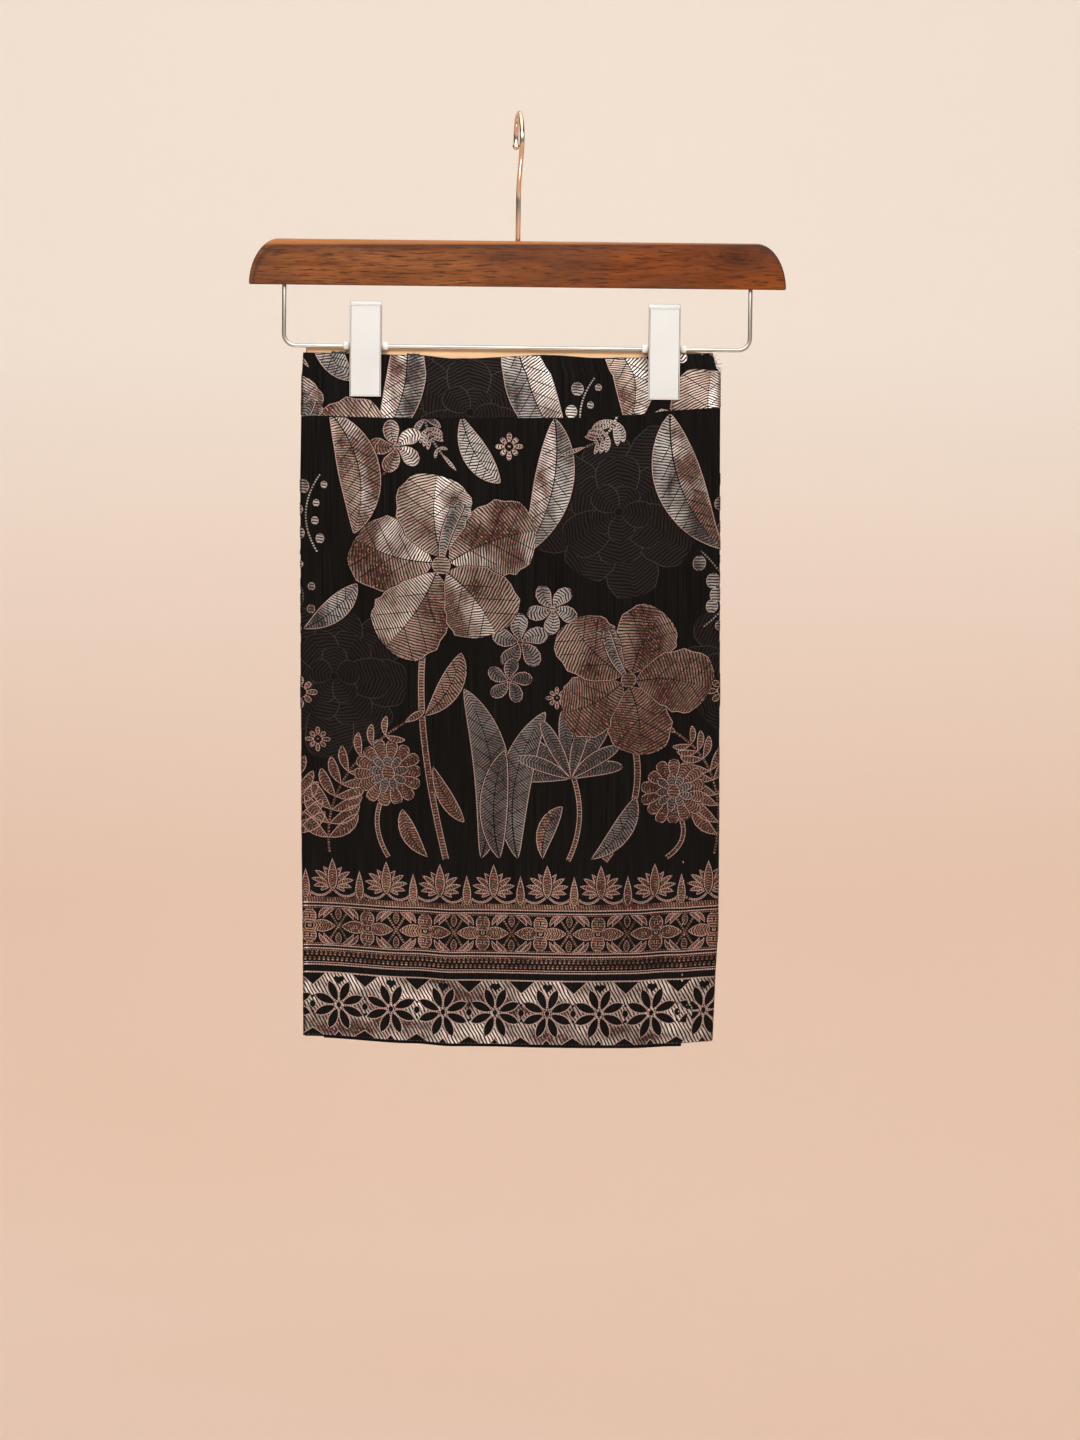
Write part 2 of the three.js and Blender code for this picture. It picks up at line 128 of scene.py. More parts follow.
def sway(x, z):
    """How far the whole stack of layers swings back or forward."""
    total = np.zeros(np.broadcast(x, z).shape)
    for centre, width, depth, start in SWELLS:
        total = total + depth * np.exp(-(((x - centre) / width) ** 2)) * ease((start - z) / SWELL_RUN)
    for cx, cz, length, width, lean, depth in CREASES:
        c, s = math.cos(math.radians(lean)), math.sin(math.radians(lean))
        up, over = (z - cz) * c - (x - cx) * s, (x - cx) * c + (z - cz) * s
        total = total + depth * np.exp(-((up / length) ** 2) - (over / width) ** 2)
    return total + CURL["by"] * np.clip((CURL["from"] - z) / CURL["run"], 0, 2) ** 1.6


# ---- the folded path of the cloth

def closing(x):
    """How far front and back close in towards each other near the right fold."""
    return PINCH["by"] * ease((x - PINCH["start"]) / PINCH["run"])


TURNS = {  # radius of each fold's middle line
    "inner": (LAYER_Y["tuck"] - LAYER_Y["under"]) / 2,
    "left": (LAYER_Y["tuck"] - LAYER_Y["front"]) / 2,
    "right": (LAYER_Y["back"] - LAYER_Y["front"]) / 2 - PINCH["by"],
}
WALL = 1.0  # the solids' wall, whose outside the cloth keeps to
X_LEFT = -155.3 + TURNS["left"] + WALL / 2
X_RIGHT = 142.4 - TURNS["right"] - WALL / 2
X_INNER = INNER["right"] - TURNS["inner"] - WALL / 2

# Distances along the cloth, rightwards as seen from outside; 0 is the front's left edge.
P_RIGHT = X_RIGHT - X_LEFT
P_BACK = P_RIGHT + math.pi * TURNS["right"]
P_END = P_BACK + X_RIGHT - FREE_END
P_TUCK = -math.pi * TURNS["left"]
P_INNER = P_TUCK - (X_INNER - X_LEFT)
P_UNDER = P_INNER - math.pi * TURNS["inner"]
P_START = P_UNDER - (X_INNER - INNER["left"])


def path(p, z):
    """Plan position and outward direction at distance p along the cloth, at height z."""
    left = outline_at(z, "left") + TURNS["left"] + WALL / 2
    right = outline_at(z, "right") - TURNS["right"] - WALL / 2
    front = left + (right - left) * np.clip(p / P_RIGHT, 0, 1)
    back = right - (right - FREE_END) * (p - P_BACK) / (P_END - P_BACK)

    def turn(name, x, layers, angle):
        across, out = np.cos(angle), np.sin(angle)
        middle = sum(LAYER_Y[layer] for layer in layers) / 2
        return x + TURNS[name] * across, middle + TURNS[name] * out, across, out

    stretches = [  # x, y and the outward direction, from the hidden start to the back's free end
        (X_INNER - (P_UNDER - p), LAYER_Y["under"], 0, -1),
        turn("inner", X_INNER, ("under", "tuck"), math.pi / 2 + (p - P_INNER) / TURNS["inner"]),
        (left + (P_TUCK - p), LAYER_Y["tuck"], 0, 1),
        turn("left", left, ("front", "tuck"), 1.5 * math.pi + p / TURNS["left"]),
        (front, LAYER_Y["front"] + closing(front), 0, -1),
        turn("right", right, ("front", "back"), -math.pi / 2 + (p - P_RIGHT) / TURNS["right"]),
        (back, LAYER_Y["back"] - closing(back), 0, 1),
    ]
    spans = [p < P_UNDER, p < P_INNER, p < P_TUCK, p < 0, p <= P_RIGHT, p < P_BACK, p >= P_BACK]
    return [np.select(spans, [value + 0.0 * p for value in values]) for values in zip(*stretches)]


def along(p, under, tuck, front, back):
    """A value that differs between layers, blended round the folds."""
    folds = [P_UNDER, P_INNER, P_TUCK, 0, P_RIGHT, P_BACK]
    return np.interp(p, folds, [under, tuck, tuck, front, front, back])


def top_edge(p, x):
    """The waistband's top edge: the back layer stands up behind the wire, the others lie lower."""
    front = eased(x, HEIGHTS["x"], HEIGHTS["top"])
    back = wire_level(x) - 1 - 1.4 * ease((x - 122) / 14)  # dips towards the right fold
    under = front + 0.9 * np.cos((x + 98) / 9) - 0.6
    return front + (back - front) * along(p, 0, 0, 0, 1) + (under - front) * along(p, 1, 0, 0, 0)


def height(piece, p, v, x):
    """How high the point v up a piece hangs."""
    seam = eased(x, HEIGHTS["x"], HEIGHTS["seam"])
    if piece == "band":
        bottom = seam + 0.15
        return bottom + (top_edge(p, x) - bottom) * v / BAND_HEIGHT
    drop = along(p, LAYER_DROP["under"], LAYER_DROP["tuck"], 0, LAYER_DROP["back"])
    bottom = eased(x, HEIGHTS["x"], HEIGHTS["hem"]) - drop
    return bottom + (seam - 0.15 - bottom) * v / BODY_HEIGHT


def drape(piece, p, v, off):
    """Points of the row frame, in metres, at (p, v) on the cloth and off millimetres out from its middle."""
    p, v = np.asarray(p, float), np.asarray(v, float)
    near, _, _, _ = path(p, np.full_like(p, -400.0))
    z = height(piece, p, v, near)
    x, y, nx, ny = path(p, z)
    y = y + ny * off + sway(x, z)
    return np.stack([x + nx * off, y, z], axis=-1) * MM


# ---- making meshes

def link(obj, material):
    """Puts a piece into the scene with its material."""
    if obj.name not in bpy.context.scene.collection.objects:
        bpy.context.scene.collection.objects.link(obj)
    obj.data.materials.clear()
    obj.data.materials.append(material)
    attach(obj, "root")
    return obj


def mesh_object(name, points, faces, uvs=None):
    mesh = bpy.data.meshes.new(name)
    mesh.from_pydata([tuple(point) for point in points], [], [tuple(face) for face in faces])
    for label, values in (uvs or {}).items():
        layer = mesh.uv_layers.new(name=label)
        layer.data.foreach_set("uv", np.asarray(values, np.float32)[corners(mesh)].ravel())
    shade_smooth(mesh)
    mesh.update()
    return bpy.data.objects.new(name, mesh)


def bmesh_object(name, made):
    bmesh.ops.recalc_face_normals(made, faces=made.faces)
    mesh = bpy.data.meshes.new(name)
    made.to_mesh(mesh)
    made.free()
    return bpy.data.objects.new(name, mesh)


def corners(mesh):
    """The vertex at each face corner."""
    loops = np.zeros(len(mesh.loops), np.int32)
    mesh.loops.foreach_get("vertex_index", loops)
    return loops


def shade_smooth(mesh, sharp=None):
    """Smooth shading, with hard edges where faces meet at more than so many degrees."""
    mesh.polygons.foreach_set("use_smooth", [True] * len(mesh.polygons))
    if sharp:
        mesh.set_sharp_from_angle(angle=math.radians(sharp))


def round_edges(obj, width, segments, angle, sharp):
    """Rounds over the edges that turn by more than an angle."""
    bpy.context.scene.collection.objects.link(obj)
    bevel = obj.modifiers.new("round", "BEVEL")
    bevel.width, bevel.segments, bevel.limit_method = width * MM, segments, "ANGLE"
    bevel.angle_limit = math.radians(angle)
    shaped = obj.evaluated_get(bpy.context.evaluated_depsgraph_get())
    mesh = bpy.data.meshes.new_from_object(shaped)
    obj.modifiers.clear()
    obj.data = mesh
    shade_smooth(mesh, sharp)


def arc(radius, start, end, count):
    """Points round a circle between two angles in radians."""
    angles = np.linspace(start, end, count)
    return np.stack([np.cos(angles), np.sin(angles)], axis=-1) * radius


def grid_faces(columns, rows):
    """Quads over a grid of points, column by column."""
    i, j = np.meshgrid(np.arange(columns - 1), np.arange(rows - 1), indexing="ij")
    a = i * rows + j
    return np.stack([a, a + rows, a + rows + 1, a + 1], axis=-1).reshape(-1, 4)


def ring_faces(rings, sides, closed=False):
    """Quads between rings of points; closed also joins the last ring to the first."""
    i, k = np.meshgrid(np.arange(rings if closed else rings - 1), np.arange(sides), indexing="ij")
    here, ahead, after = i * sides, (i + 1) % rings * sides, (k + 1) % sides
    return np.stack([here + k, here + after, ahead + after, ahead + k], axis=-1).reshape(-1, 4).tolist()


def prism(made, outline, near, far, axis):
    """Adds the solid between two copies of a flat outline, set across an axis."""
    sheets = [np.insert(np.asarray(outline, float), axis, at, axis=1) for at in (near, far)]
    near, far = ([made.verts.new(point) for point in sheet] for sheet in sheets)
    made.faces.new(near)
    made.faces.new(far[::-1])
    for i, k in enumerate([*range(1, len(near)), 0]):
        made.faces.new((near[k], near[i], far[i], far[k]))


# ---- material graphs

class Graph:
    """A material's nodes, made one call each."""

    def __init__(self, name):
        self.material = bpy.data.materials.new(name)
        self.material.use_nodes = True
        self.tree = self.material.node_tree
        self.shader = self.tree.nodes["Principled BSDF"]

    def node(self, kind, props=None, **inputs):
        made = self.tree.nodes.new("ShaderNode" + kind)
        for key, value in (props or {}).items():
            setattr(made, key, value)
        for key, value in inputs.items():
            self.feed(made, key.replace("_", " "), value)
        return made

    def feed(self, node, name, value):
        socket = node.inputs[int(name)] if name.isdigit() else node.inputs[name]
        if isinstance(value, bpy.types.NodeSocket):
            self.tree.links.new(value, socket)
        else:
            socket.default_value = value

    def set(self, **inputs):
        for key, value in inputs.items():
            self.feed(self.shader, key.replace("_", " "), value)
        return self

    def uv(self, layer):
        return self.node("UVMap", {"uv_map": layer}).outputs["UV"]

    def place(self):
        return self.node("TexCoord").outputs["Object"]

    def axes(self):
        return self.node("SeparateXYZ", Vector=self.place()).outputs

    def scaled(self, vector, scale):
        return self.node("Mapping", Vector=vector, Scale=scale).outputs["Vector"]

    def noise(self, vector, scale, detail, rough, output="Fac"):
        """Noise at one scale, or at one for each axis."""
        if isinstance(scale, tuple):
            vector, scale = self.scaled(vector, scale), 1.0
        made = self.node("TexNoise", Vector=vector, Scale=scale, Detail=detail, Roughness=rough)
        return made.outputs[output]

    def wave(self, vector, scale, bend, bend_scale, axis="X"):
        props = {"bands_direction": axis, "wave_profile": "SIN"}
        sizes = {"Scale": scale, "Distortion": bend, "Detail_Scale": bend_scale}
        return self.node("TexWave", props, Vector=vector, **sizes).outputs["Fac"]

    def ramp(self, value, *stops):
        made = self.node("ValToRGB", Fac=value)
        ramp = made.color_ramp
        while len(ramp.elements) < len(stops):
            ramp.elements.new(0.5)
        for element, (at, color) in zip(ramp.elements, stops):
            element.position = at
            element.color = (color, color, color, 1) if isinstance(color, (int, float)) else (*color, 1)
        return made.outputs["Color"]

    def math(self, kind, a, b):
        return self.node("Math", {"operation": kind}, **{"0": a, "1": b}).outputs["Value"]

    def vector(self, kind, a, b):
        made = self.node("VectorMath", {"operation": kind}, **{"0": a, "1": b})
        return made.outputs["Value" if kind == "DISTANCE" else "Vector"]

    def blend(self, share, a, b, kind="MIX"):
        made = self.node("MixRGB", {"blend_type": kind}, Fac=share)
        for name, value in (("Color1", a), ("Color2", b)):
            self.feed(made, name, (*value, 1) if isinstance(value, tuple) else value)
        return made.outputs["Color"]

    def bump(self, value, strength, distance):
        """Raises the surface by a value and hands over the finished material."""
        made = self.node("Bump", Height=value, Strength=strength, Distance=distance)
        return self.set(Normal=made.outputs["Normal"]).material


def satin():
    """The black satin ground: fine warp streaks, a soft grey sheen and a faint twill."""
    g = Graph("black_satin")
    uv = g.uv("cloth")
    warp = g.noise(uv, (1600, 14, 1), 4, 0.6)
    broad = g.noise(uv, (26, 5, 1), 3, 0.55)
    threads = g.wave(uv, 420, 0.4, 2.0, "DIAGONAL")
    tone = g.blend(broad, (0.0008, 0.0006, 0.0005), (0.0026, 0.0021, 0.0018))
    color = g.blend(g.ramp(warp, (0.45, 0.0), (0.72, 1.0)), tone, (0.0080, 0.0068, 0.0062))
    g.set(Base_Color=color, Roughness=g.ramp(warp, (0.3, 0.26), (0.75, 0.46)), Specular_IOR_Level=0.12)
    height = g.math("ADD", g.math("MULTIPLY", threads, 0.5), warp)
    height = g.math("ADD", height, g.math("MULTIPLY", broad, 14.0))
    return g.bump(height, 0.35, 0.00012)


GAP = (0.005, 0.003, 0.0025)  # the dark between two rows of metallic thread


def lurex(name, dark, light, painted_top_sheen=None, rough=0.34, line=150.0, speck=0.5, patch=(30, 18, 1)):
    """Metallic weft: rows of bright thread with dark gaps and coloured glints, in random patches of dark and
    light thread that also paint in the patchy sheen of the metal, and with a painted sheen that turns the
    light colour paler up towards the top.
    """
    g = Graph(name)
    cloth = g.uv("cloth")
    lines = g.ramp(g.wave(g.uv("fill"), line, 3.4, 0.8), (0.3, 0.0), (0.6, 1.0))
    fine = g.wave(cloth, 900, 0.5, 1.0, "Y")
    # random patches of dark and light thread, which also paint in the patchy sheen of the metallic thread
    drift = g.noise(cloth, patch, 4, 0.6)
    grain = g.noise(cloth, (620, 300, 1), 2, 0.7)
    # painted top sheen: up towards the top the thread's light colour turns to the paler fourth colour
    high = g.ramp(g.math("ADD", g.axes()["Z"], 1.0), (0.56, 0.0), (0.73, 1.0))
    bright = g.blend(high, light, painted_top_sheen or light)
    thread = g.blend(g.ramp(drift, (0.41, 0.0), (0.62, 1.0)), dark, bright)
    pink = g.blend(g.ramp(grain, (0.55, 0.0), (0.63, speck)), thread, (0.80, 0.27, 0.31))
    warm = g.blend(g.ramp(grain, (0.36, speck), (0.43, 0.0)), pink, (0.38, 0.46, 0.19))
    g.set(Base_Color=g.blend(lines, GAP, warm), Roughness=rough, Specular_IOR_Level=0.2)
    g.set(Metallic=g.math("MULTIPLY", lines, 0.94))
    height = g.math("ADD", g.math("MULTIPLY", lines, 0.8), g.math("MULTIPLY", fine, 0.4))
    return g.bump(height, 0.5, 0.0002)


def ink():
    """Black figures on the black ground: raised ribs that only catch the light."""
    g = Graph("black_figure")
    ribs = g.wave(g.uv("fill"), 120, 4.5, 0.6)
    drift = g.noise(g.uv("cloth"), (40, 24, 1), 3, 0.6)
    tone = g.blend(drift, (0.0075, 0.0050, 0.0044), (0.018, 0.0125, 0.0108))
    g.set(Base_Color=g.blend(g.ramp(ribs, (0.25, 0.0), (0.5, 1.0)), (0.0022, 0.0015, 0.0014), tone))
    g.set(Roughness=g.ramp(ribs, (0.2, 0.55), (0.8, 0.36)), Specular_IOR_Level=0.08)
    return g.bump(ribs, 0.7, 0.0003)


def beads(name, light, dark, tinge, scale=260.0):
    """Outline thread, broken into small bright floats."""
    g = Graph(name)
    floats = g.wave(g.uv("fill"), scale, 1.0, 1.0)
    glint = g.noise(g.uv("cloth"), (700, 500, 1), 2, 0.7)
    tint = g.blend(g.ramp(glint, (0.35, 0.0), (0.6, 1.0)), light, tinge)
    g.set(Base_Color=g.blend(g.ramp(floats, (0.2, 0.0), (0.55, 1.0)), dark, tint))
    g.set(Roughness=0.38, Metallic=g.math("MULTIPLY", floats, 0.7))
    return g.bump(floats, 0.4, 0.0002)


def cotton(name, color, deep):
    """Matt thread in a plain weave."""
    g = Graph(name)
    uv = g.uv("cloth")
    weave = g.math("MULTIPLY", g.wave(uv, 560, 0.3, 2), g.wave(uv, 560, 0.3, 2, "Y"))
    drift = g.noise(uv, (60, 60, 1), 4, 0.6)
    g.set(Base_Color=g.blend(drift, color, deep), Roughness=0.85, Sheen_Weight=0.2)
    return g.bump(weave, 0.4, 0.0002)


KNOT = (0.076, -0.0065, -0.100)  # halved along the bar, so that the knot comes out long


def walnut():
    """Satin walnut: long grain and a few short pores, with painted shade in dark bands along the rounded
    outline, painted shade that makes the right end darker and redder than the sheen-lit left, and a painted
    orange highlight along the top edge.
    """
    g = Graph("walnut")
    at = g.place()
    away = g.vector("DISTANCE", g.scaled(at, (0.5, 1, 1)), KNOT)
    knot = g.ramp(away, (0.001, 1.0), (0.010, 0.0))
    lifted = g.node("CombineXYZ", X=0.0, Y=0.0, Z=g.math("MULTIPLY", knot, 1.6)).outputs["Vector"]
    bent = g.vector("ADD", g.scaled(at, (5, 60, 60)), g.noise(at, (9, 20, 20), 2.0, 0.5, "Color"))
    grain = g.noise(g.vector("ADD", bent, lifted), 2.2, 6, 0.62)
    fine = g.noise(at, (62, 760, 760), 5, 0.65)
    patch = g.noise(at, (11, 26, 26), 3, 0.5)
    across, _, rise = g.axes()
    share, tall = outline_share(g, across, rise)
    # painted shade: a dark band along the rounded outline
    edge = g.ramp(share, (0.66, 0.0), (0.86, 0.85), (0.94, 0.5), (0.965, 0.0))
    # painted shade: the right end darker and redder, the left end keeping the look of its sheen
    right = g.ramp(g.math("ADD", across, 0.5), (0.42, 0.0), (0.62, 1.0))
    dark, middle, light = (0.083, 0.027, 0.0085), (0.185, 0.062, 0.0195), (0.275, 0.102, 0.036)
    tone = g.ramp(grain, (0.26, dark), (0.48, middle), (0.74, light))
    tone = g.blend(right, tone, (0.77, 0.56, 0.37), "MULTIPLY")
    tone = g.blend(g.ramp(fine, (0.36, 0.9), (0.5, 0.0)), tone, (0.026, 0.010, 0.006))
    tone = g.blend(g.ramp(patch, (0.38, 0.45), (0.6, 0.0)), tone, (0.060, 0.027, 0.018))
    tone = g.blend(g.math("MULTIPLY", knot, 0.65), tone, (0.022, 0.007, 0.004))
    # the painted shade along the outline, broken up by the patches
    edge = g.math("MULTIPLY", edge, g.ramp(patch, (0.3, 0.9), (0.7, 0.45)))
    tone = g.blend(edge, tone, (0.038, 0.020, 0.018))
    # painted highlight: light orange along the top edge, where the light from above falls
    tone = g.blend(g.ramp(tall, (0.86, 0.0), (0.95, 0.55)), tone, (0.46, 0.175, 0.055))
    g.set(Base_Color=tone, Roughness=g.ramp(fine, (0.3, 0.5), (0.7, 0.36)), Specular_IOR_Level=0.06)
    return g.bump(g.math("ADD", fine, g.math("MULTIPLY", grain, 0.6)), 0.25, 0.0003)


def outline_share(g, across, rise):
    """How near a point is to the bar's curved outline, 1 on it, and the height's part of that."""
    straight = (BAR["half"] - BAR["reach"]) * MM
    beyond = g.math("MAXIMUM", g.math("SUBTRACT", g.math("ABSOLUTE", across, 0.0), straight), 0.0)
    level = g.math("MAXIMUM", g.math("SUBTRACT", rise, (BAR["top"] - BAR["height"]) * MM), 0.0)
    wide = g.math("POWER", g.math("DIVIDE", beyond, BAR["reach"] * MM), 2.0)
    tall = g.math("POWER", g.math("DIVIDE", level, BAR["height"] * MM), 2.0)
    return g.math("ADD", wide, tall), tall


def metal(name, color, rough, worn=0.06, brushed=(40, 40, 400), pure=1.0):
    """Brushed metal, a little cloudy."""
    g = Graph(name)
    fine = g.noise(g.place(), brushed, 4, 0.6)
    deep = tuple(value * 0.86 for value in color)
    g.set(Base_Color=g.blend(g.noise(g.place(), 35.0, 3, 0.5), deep, color), Metallic=pure)
    g.set(Roughness=g.ramp(fine, (0.3, rough), (0.75, rough + worn)))
    return g.bump(fine, 0.05, 0.00005)


def milky():
    """Clear plastic gone cloudy, for the bushes."""
    g = Graph("milky_plastic")
    cloud = g.noise(g.place(), 260.0, 3, 0.5)
    g.set(Base_Color=g.blend(cloud, (0.80, 0.78, 0.73), (0.93, 0.92, 0.89)), Roughness=0.3)
    g.set(Transmission_Weight=0.25, IOR=1.45)
    return g.bump(cloud, 0.1, 0.0001)


def backdrop_paint():
    """Peach paper, with painted shade that makes it deeper and darker towards the floor and painted light
    that makes it paler away from the middle, where the lamps reach the sweep less.
    """
    g = Graph("peach_paper")
    x, y, z = g.axes()
    low, high = (0.715, 0.495, 0.375), (0.83, 0.74, 0.655)
    # painted shade: darker, deeper peach towards the floor
    tone = g.ramp(g.math("ADD", g.math("MULTIPLY", z, 0.7), 1.14), (0.18, low), (0.68, high))
    drift = g.math("MULTIPLY", g.noise(g.place(), 0.7, 2, 0.5), 0.4)
    cloudy = g.blend(drift, tone, (0.76, 0.67, 0.60))
    # painted light: paler away from the middle, where the lamps reach the sweep less
    beside = g.math("SUBTRACT", g.math("ABSOLUTE", x, 0.0), 1.5)
    before = g.math("SUBTRACT", g.math("MULTIPLY", y, -1.0), 0.5)
    away = g.ramp(g.math("MULTIPLY", g.math("MAXIMUM", beside, before), 0.14), (0.0, 0.0), (0.9, 0.8))
    g.set(Base_Color=g.blend(away, cloudy, (0.95, 0.76, 0.63)), Roughness=0.95, Specular_IOR_Level=0.1)
    return g.material


MATERIALS = {
    "satin": satin(),
    # copper, pale and silver: the fourth colour is their painted top sheen
    "copper": lurex("copper_weft", (0.070, 0.026, 0.016), (0.185, 0.098, 0.070), (0.56, 0.46, 0.385)),
    "pale": lurex("pale_weft", (0.13, 0.074, 0.056), (0.33, 0.230, 0.182), (0.99, 0.94, 0.88)),
    "silver": lurex("silver_weft", (0.058, 0.053, 0.053), (0.185, 0.169, 0.165), (0.57, 0.545, 0.515),
                    speck=0.25),
    "russet": lurex("russet_weft", (0.066, 0.024, 0.014), (0.26, 0.138, 0.092), line=170.0),
    # gleam: its very pale light colour and large patches paint in the sheen that the lowest hem band catches
    "gleam": lurex("painted_sheen_weft", (0.065, 0.030, 0.020), (0.84, 0.75, 0.67), rough=0.28, patch=(13, 26, 1)),
    "ink": ink(),
    # bead: outline thread, whose pale floats also paint in the highlight along the figures' raised edges
    "bead": beads("outline_thread_edge_highlight", (0.62, 0.55, 0.48), (0.07, 0.04, 0.035), (0.60, 0.30, 0.26)),
    "grey": beads("grey_outline", (0.042, 0.036, 0.034), (0.010, 0.008, 0.008), (0.036, 0.027, 0.025), 300.0),
    "cotton": cotton("tan_cotton", (0.92, 0.60, 0.34), (0.82, 0.49, 0.25)),
    "bead_plain": cotton("pale_thread", (0.55, 0.38, 0.33), (0.38, 0.24, 0.20)),
    "stitch": cotton("black_thread", (0.03, 0.028, 0.028), (0.015, 0.014, 0.014)),
    "wood": walnut(),
    "hook": metal("rose_wire", (0.83, 0.61, 0.47), 0.16),
    "wire": metal("bright_wire", (0.54, 0.49, 0.44), 0.34),
    # plate: pale, mostly unmetallic plating that paints in the chrome's reflection of the bright room
    "plate": metal("clip_plating_painted_reflection", (0.675, 0.695, 0.685), 0.42, 0.05, (30, 30, 900), 0.15),
    # rim: a darker metal for the plates' edge faces, painted shade that outlines each plate
    "rim": metal("clip_edge_painted_shade", (0.50, 0.42, 0.38), 0.16),
    "spring": metal("spring_steel", (0.62, 0.61, 0.60), 0.25),
    "milky": milky(),
}
MATERIALS["dark"] = MATERIALS["satin"]  # the margins round the figures are bare ground


# ---- the hanger

TILT = Matrix.Rotation(LEAN, 4, "Y")


def hang(obj, x=0, z=0):
    """Sets a hanger piece at its place in millimetres, with the lean that the loaded hanger has."""
    obj.data.transform(TILT @ Matrix.Scale(MM, 4) @ Matrix.Translation((x, 0, z)))
    return obj


def fit(obj, material, node):
    """Puts a finished piece of the hanger in place of its solid."""
    link(obj, MATERIALS[material])
    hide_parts(node)


def tube(name, points, diameter, sides=16):
    """A round wire through points, closed by domed ends."""
    radius = diameter / 2
    points = [Vector(point) for point in points]
    caps = []
    for end, inner in (points[:2], points[:-3:-1]):
        out = (end - inner).normalized() * radius * 0.55
        caps.append([(math.sin(a), end + out * math.cos(a)) for a in (0.35, 0.9, 1.57)])
    steps = caps[0] + [(1.0, point) for point in points[1:-1]] + caps[1][::-1]
    normal = (points[1] - points[0]).orthogonal().normalized()
    verts, circle = [], arc(1, 0, 2 * math.pi, sides + 1)[:-1]
    for i, (grow, centre) in enumerate(steps):
        ahead = (steps[min(i + 1, len(steps) - 1)][1] - steps[max(i - 1, 0)][1]).normalized()
        normal = (normal - ahead * normal.dot(ahead)).normalized()
        side = ahead.cross(normal)
        verts += [centre + (normal * a + side * b) * radius * grow for a, b in circle]
    ends = [tuple(range(sides))[::-1], tuple(range(len(verts) - sides, len(verts)))]
    return mesh_object(name, verts, ring_faces(len(steps), sides) + ends)


def spun(name, profile):
    """A ring about X, from a closed profile of (along, radius)."""
    circle = arc(1, 0, 2 * math.pi, 33)[:-1]
    verts = [(x, r * y, r * z) for y, z in circle for x, r in profile]
    return mesh_object(name, verts, ring_faces(len(circle), len(profile), closed=True))


def make_hook():
    """The hook wire: a ring, a bend that eases into the stem, and a ball on the free end."""
    centre, bow = HOOK["wire"] / 2 - HOOK["ring"], np.radians([HOOK["tip"], HOOK["leave"]])
    ring = [(0, y, centre + z) for y, z in arc(HOOK["ring"], *bow, 57)]
    leaving, pull = math.radians(HOOK["leave"] + 90), 15
    leave, stem = np.array(ring[-1]), np.array([0, 0, HOOK["stem"]])
    heading = np.array([0, math.cos(leaving), math.sin(leaving)])
    guide = np.array([leave, leave + pull * heading, stem + [0, 0, pull], stem])
    t = np.linspace(0, 1, 25)[1:]
    weights = np.stack([(1 - t) ** 3, 3 * t * (1 - t) ** 2, 3 * t * t * (1 - t), t**3], axis=-1)
    foot = (0, 0, BAR["top"] - LEGS["into"])
    hook = tube("hook_wire", [*ring, *(weights @ guide), foot], HOOK["wire"], 20)
    ball = bmesh.new()
    bmesh.ops.create_uvsphere(ball, u_segments=20, v_segments=12, radius=HOOK["ball"])
    bmesh.ops.translate(ball, verts=ball.verts, vec=ring[0])
    tip = bmesh_object("hook_ball", ball)
    shade_smooth(tip.data)
    for obj in (hook, tip):
        obj.data.transform(Matrix.Rotation(math.radians(HOOK["turn"]), 4, "Z"))
        link(hang(obj), MATERIALS["hook"])
    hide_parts("hook")


def make_wire():
    """The U-shaped wire that the clips sit on, its two ends let into the wood."""
    half, bend, level = LEGS["half"], LEGS["bend"], LEGS["level"]
    corner = [(half - bend + x, level + bend - z) for x, z in arc(bend, 0, math.pi / 2, 13)]
    side = [(half, BAR["top"] - BAR["height"] + LEGS["into"]), *corner]
    points = [(-x, 0, z) for x, z in side] + [(x, 0, z) for x, z in reversed(side)]
    fit(hang(tube("lower_wire", points, LEGS["wire"])), "wire", "wire_bar")


def make_bar():
    """The wooden bar, its long edges rounded over, its ends quarter ellipses."""
    flat, bottom = BAR["half"] - BAR["reach"], BAR["top"] - BAR["height"]
    quarter = arc(1, 0, math.pi / 2, 19)[1:] * (BAR["reach"], BAR["height"]) + (flat, bottom)
    outline = [(-BAR["half"], bottom), (BAR["half"], bottom), *quarter, *(quarter[::-1] * (-1, 1))]
    made = bmesh.new()
    prism(made, outline, -BAR["depth"] / 2, BAR["depth"] / 2, axis=1)
    bar = hang(bmesh_object("wood_bar", made))
    round_edges(bar, BAR["edge"], 4, 40, 24)
    fit(bar, "wood", "hanger_bar")


def plate_tilt(grip):
    """The lean that brings a plate's lower end up to the cloth it grips."""
    arm = math.hypot(CLIP["reach"], CLIP["below"])
    return math.atan2(CLIP["reach"], CLIP["below"]) - math.asin(grip / arm)


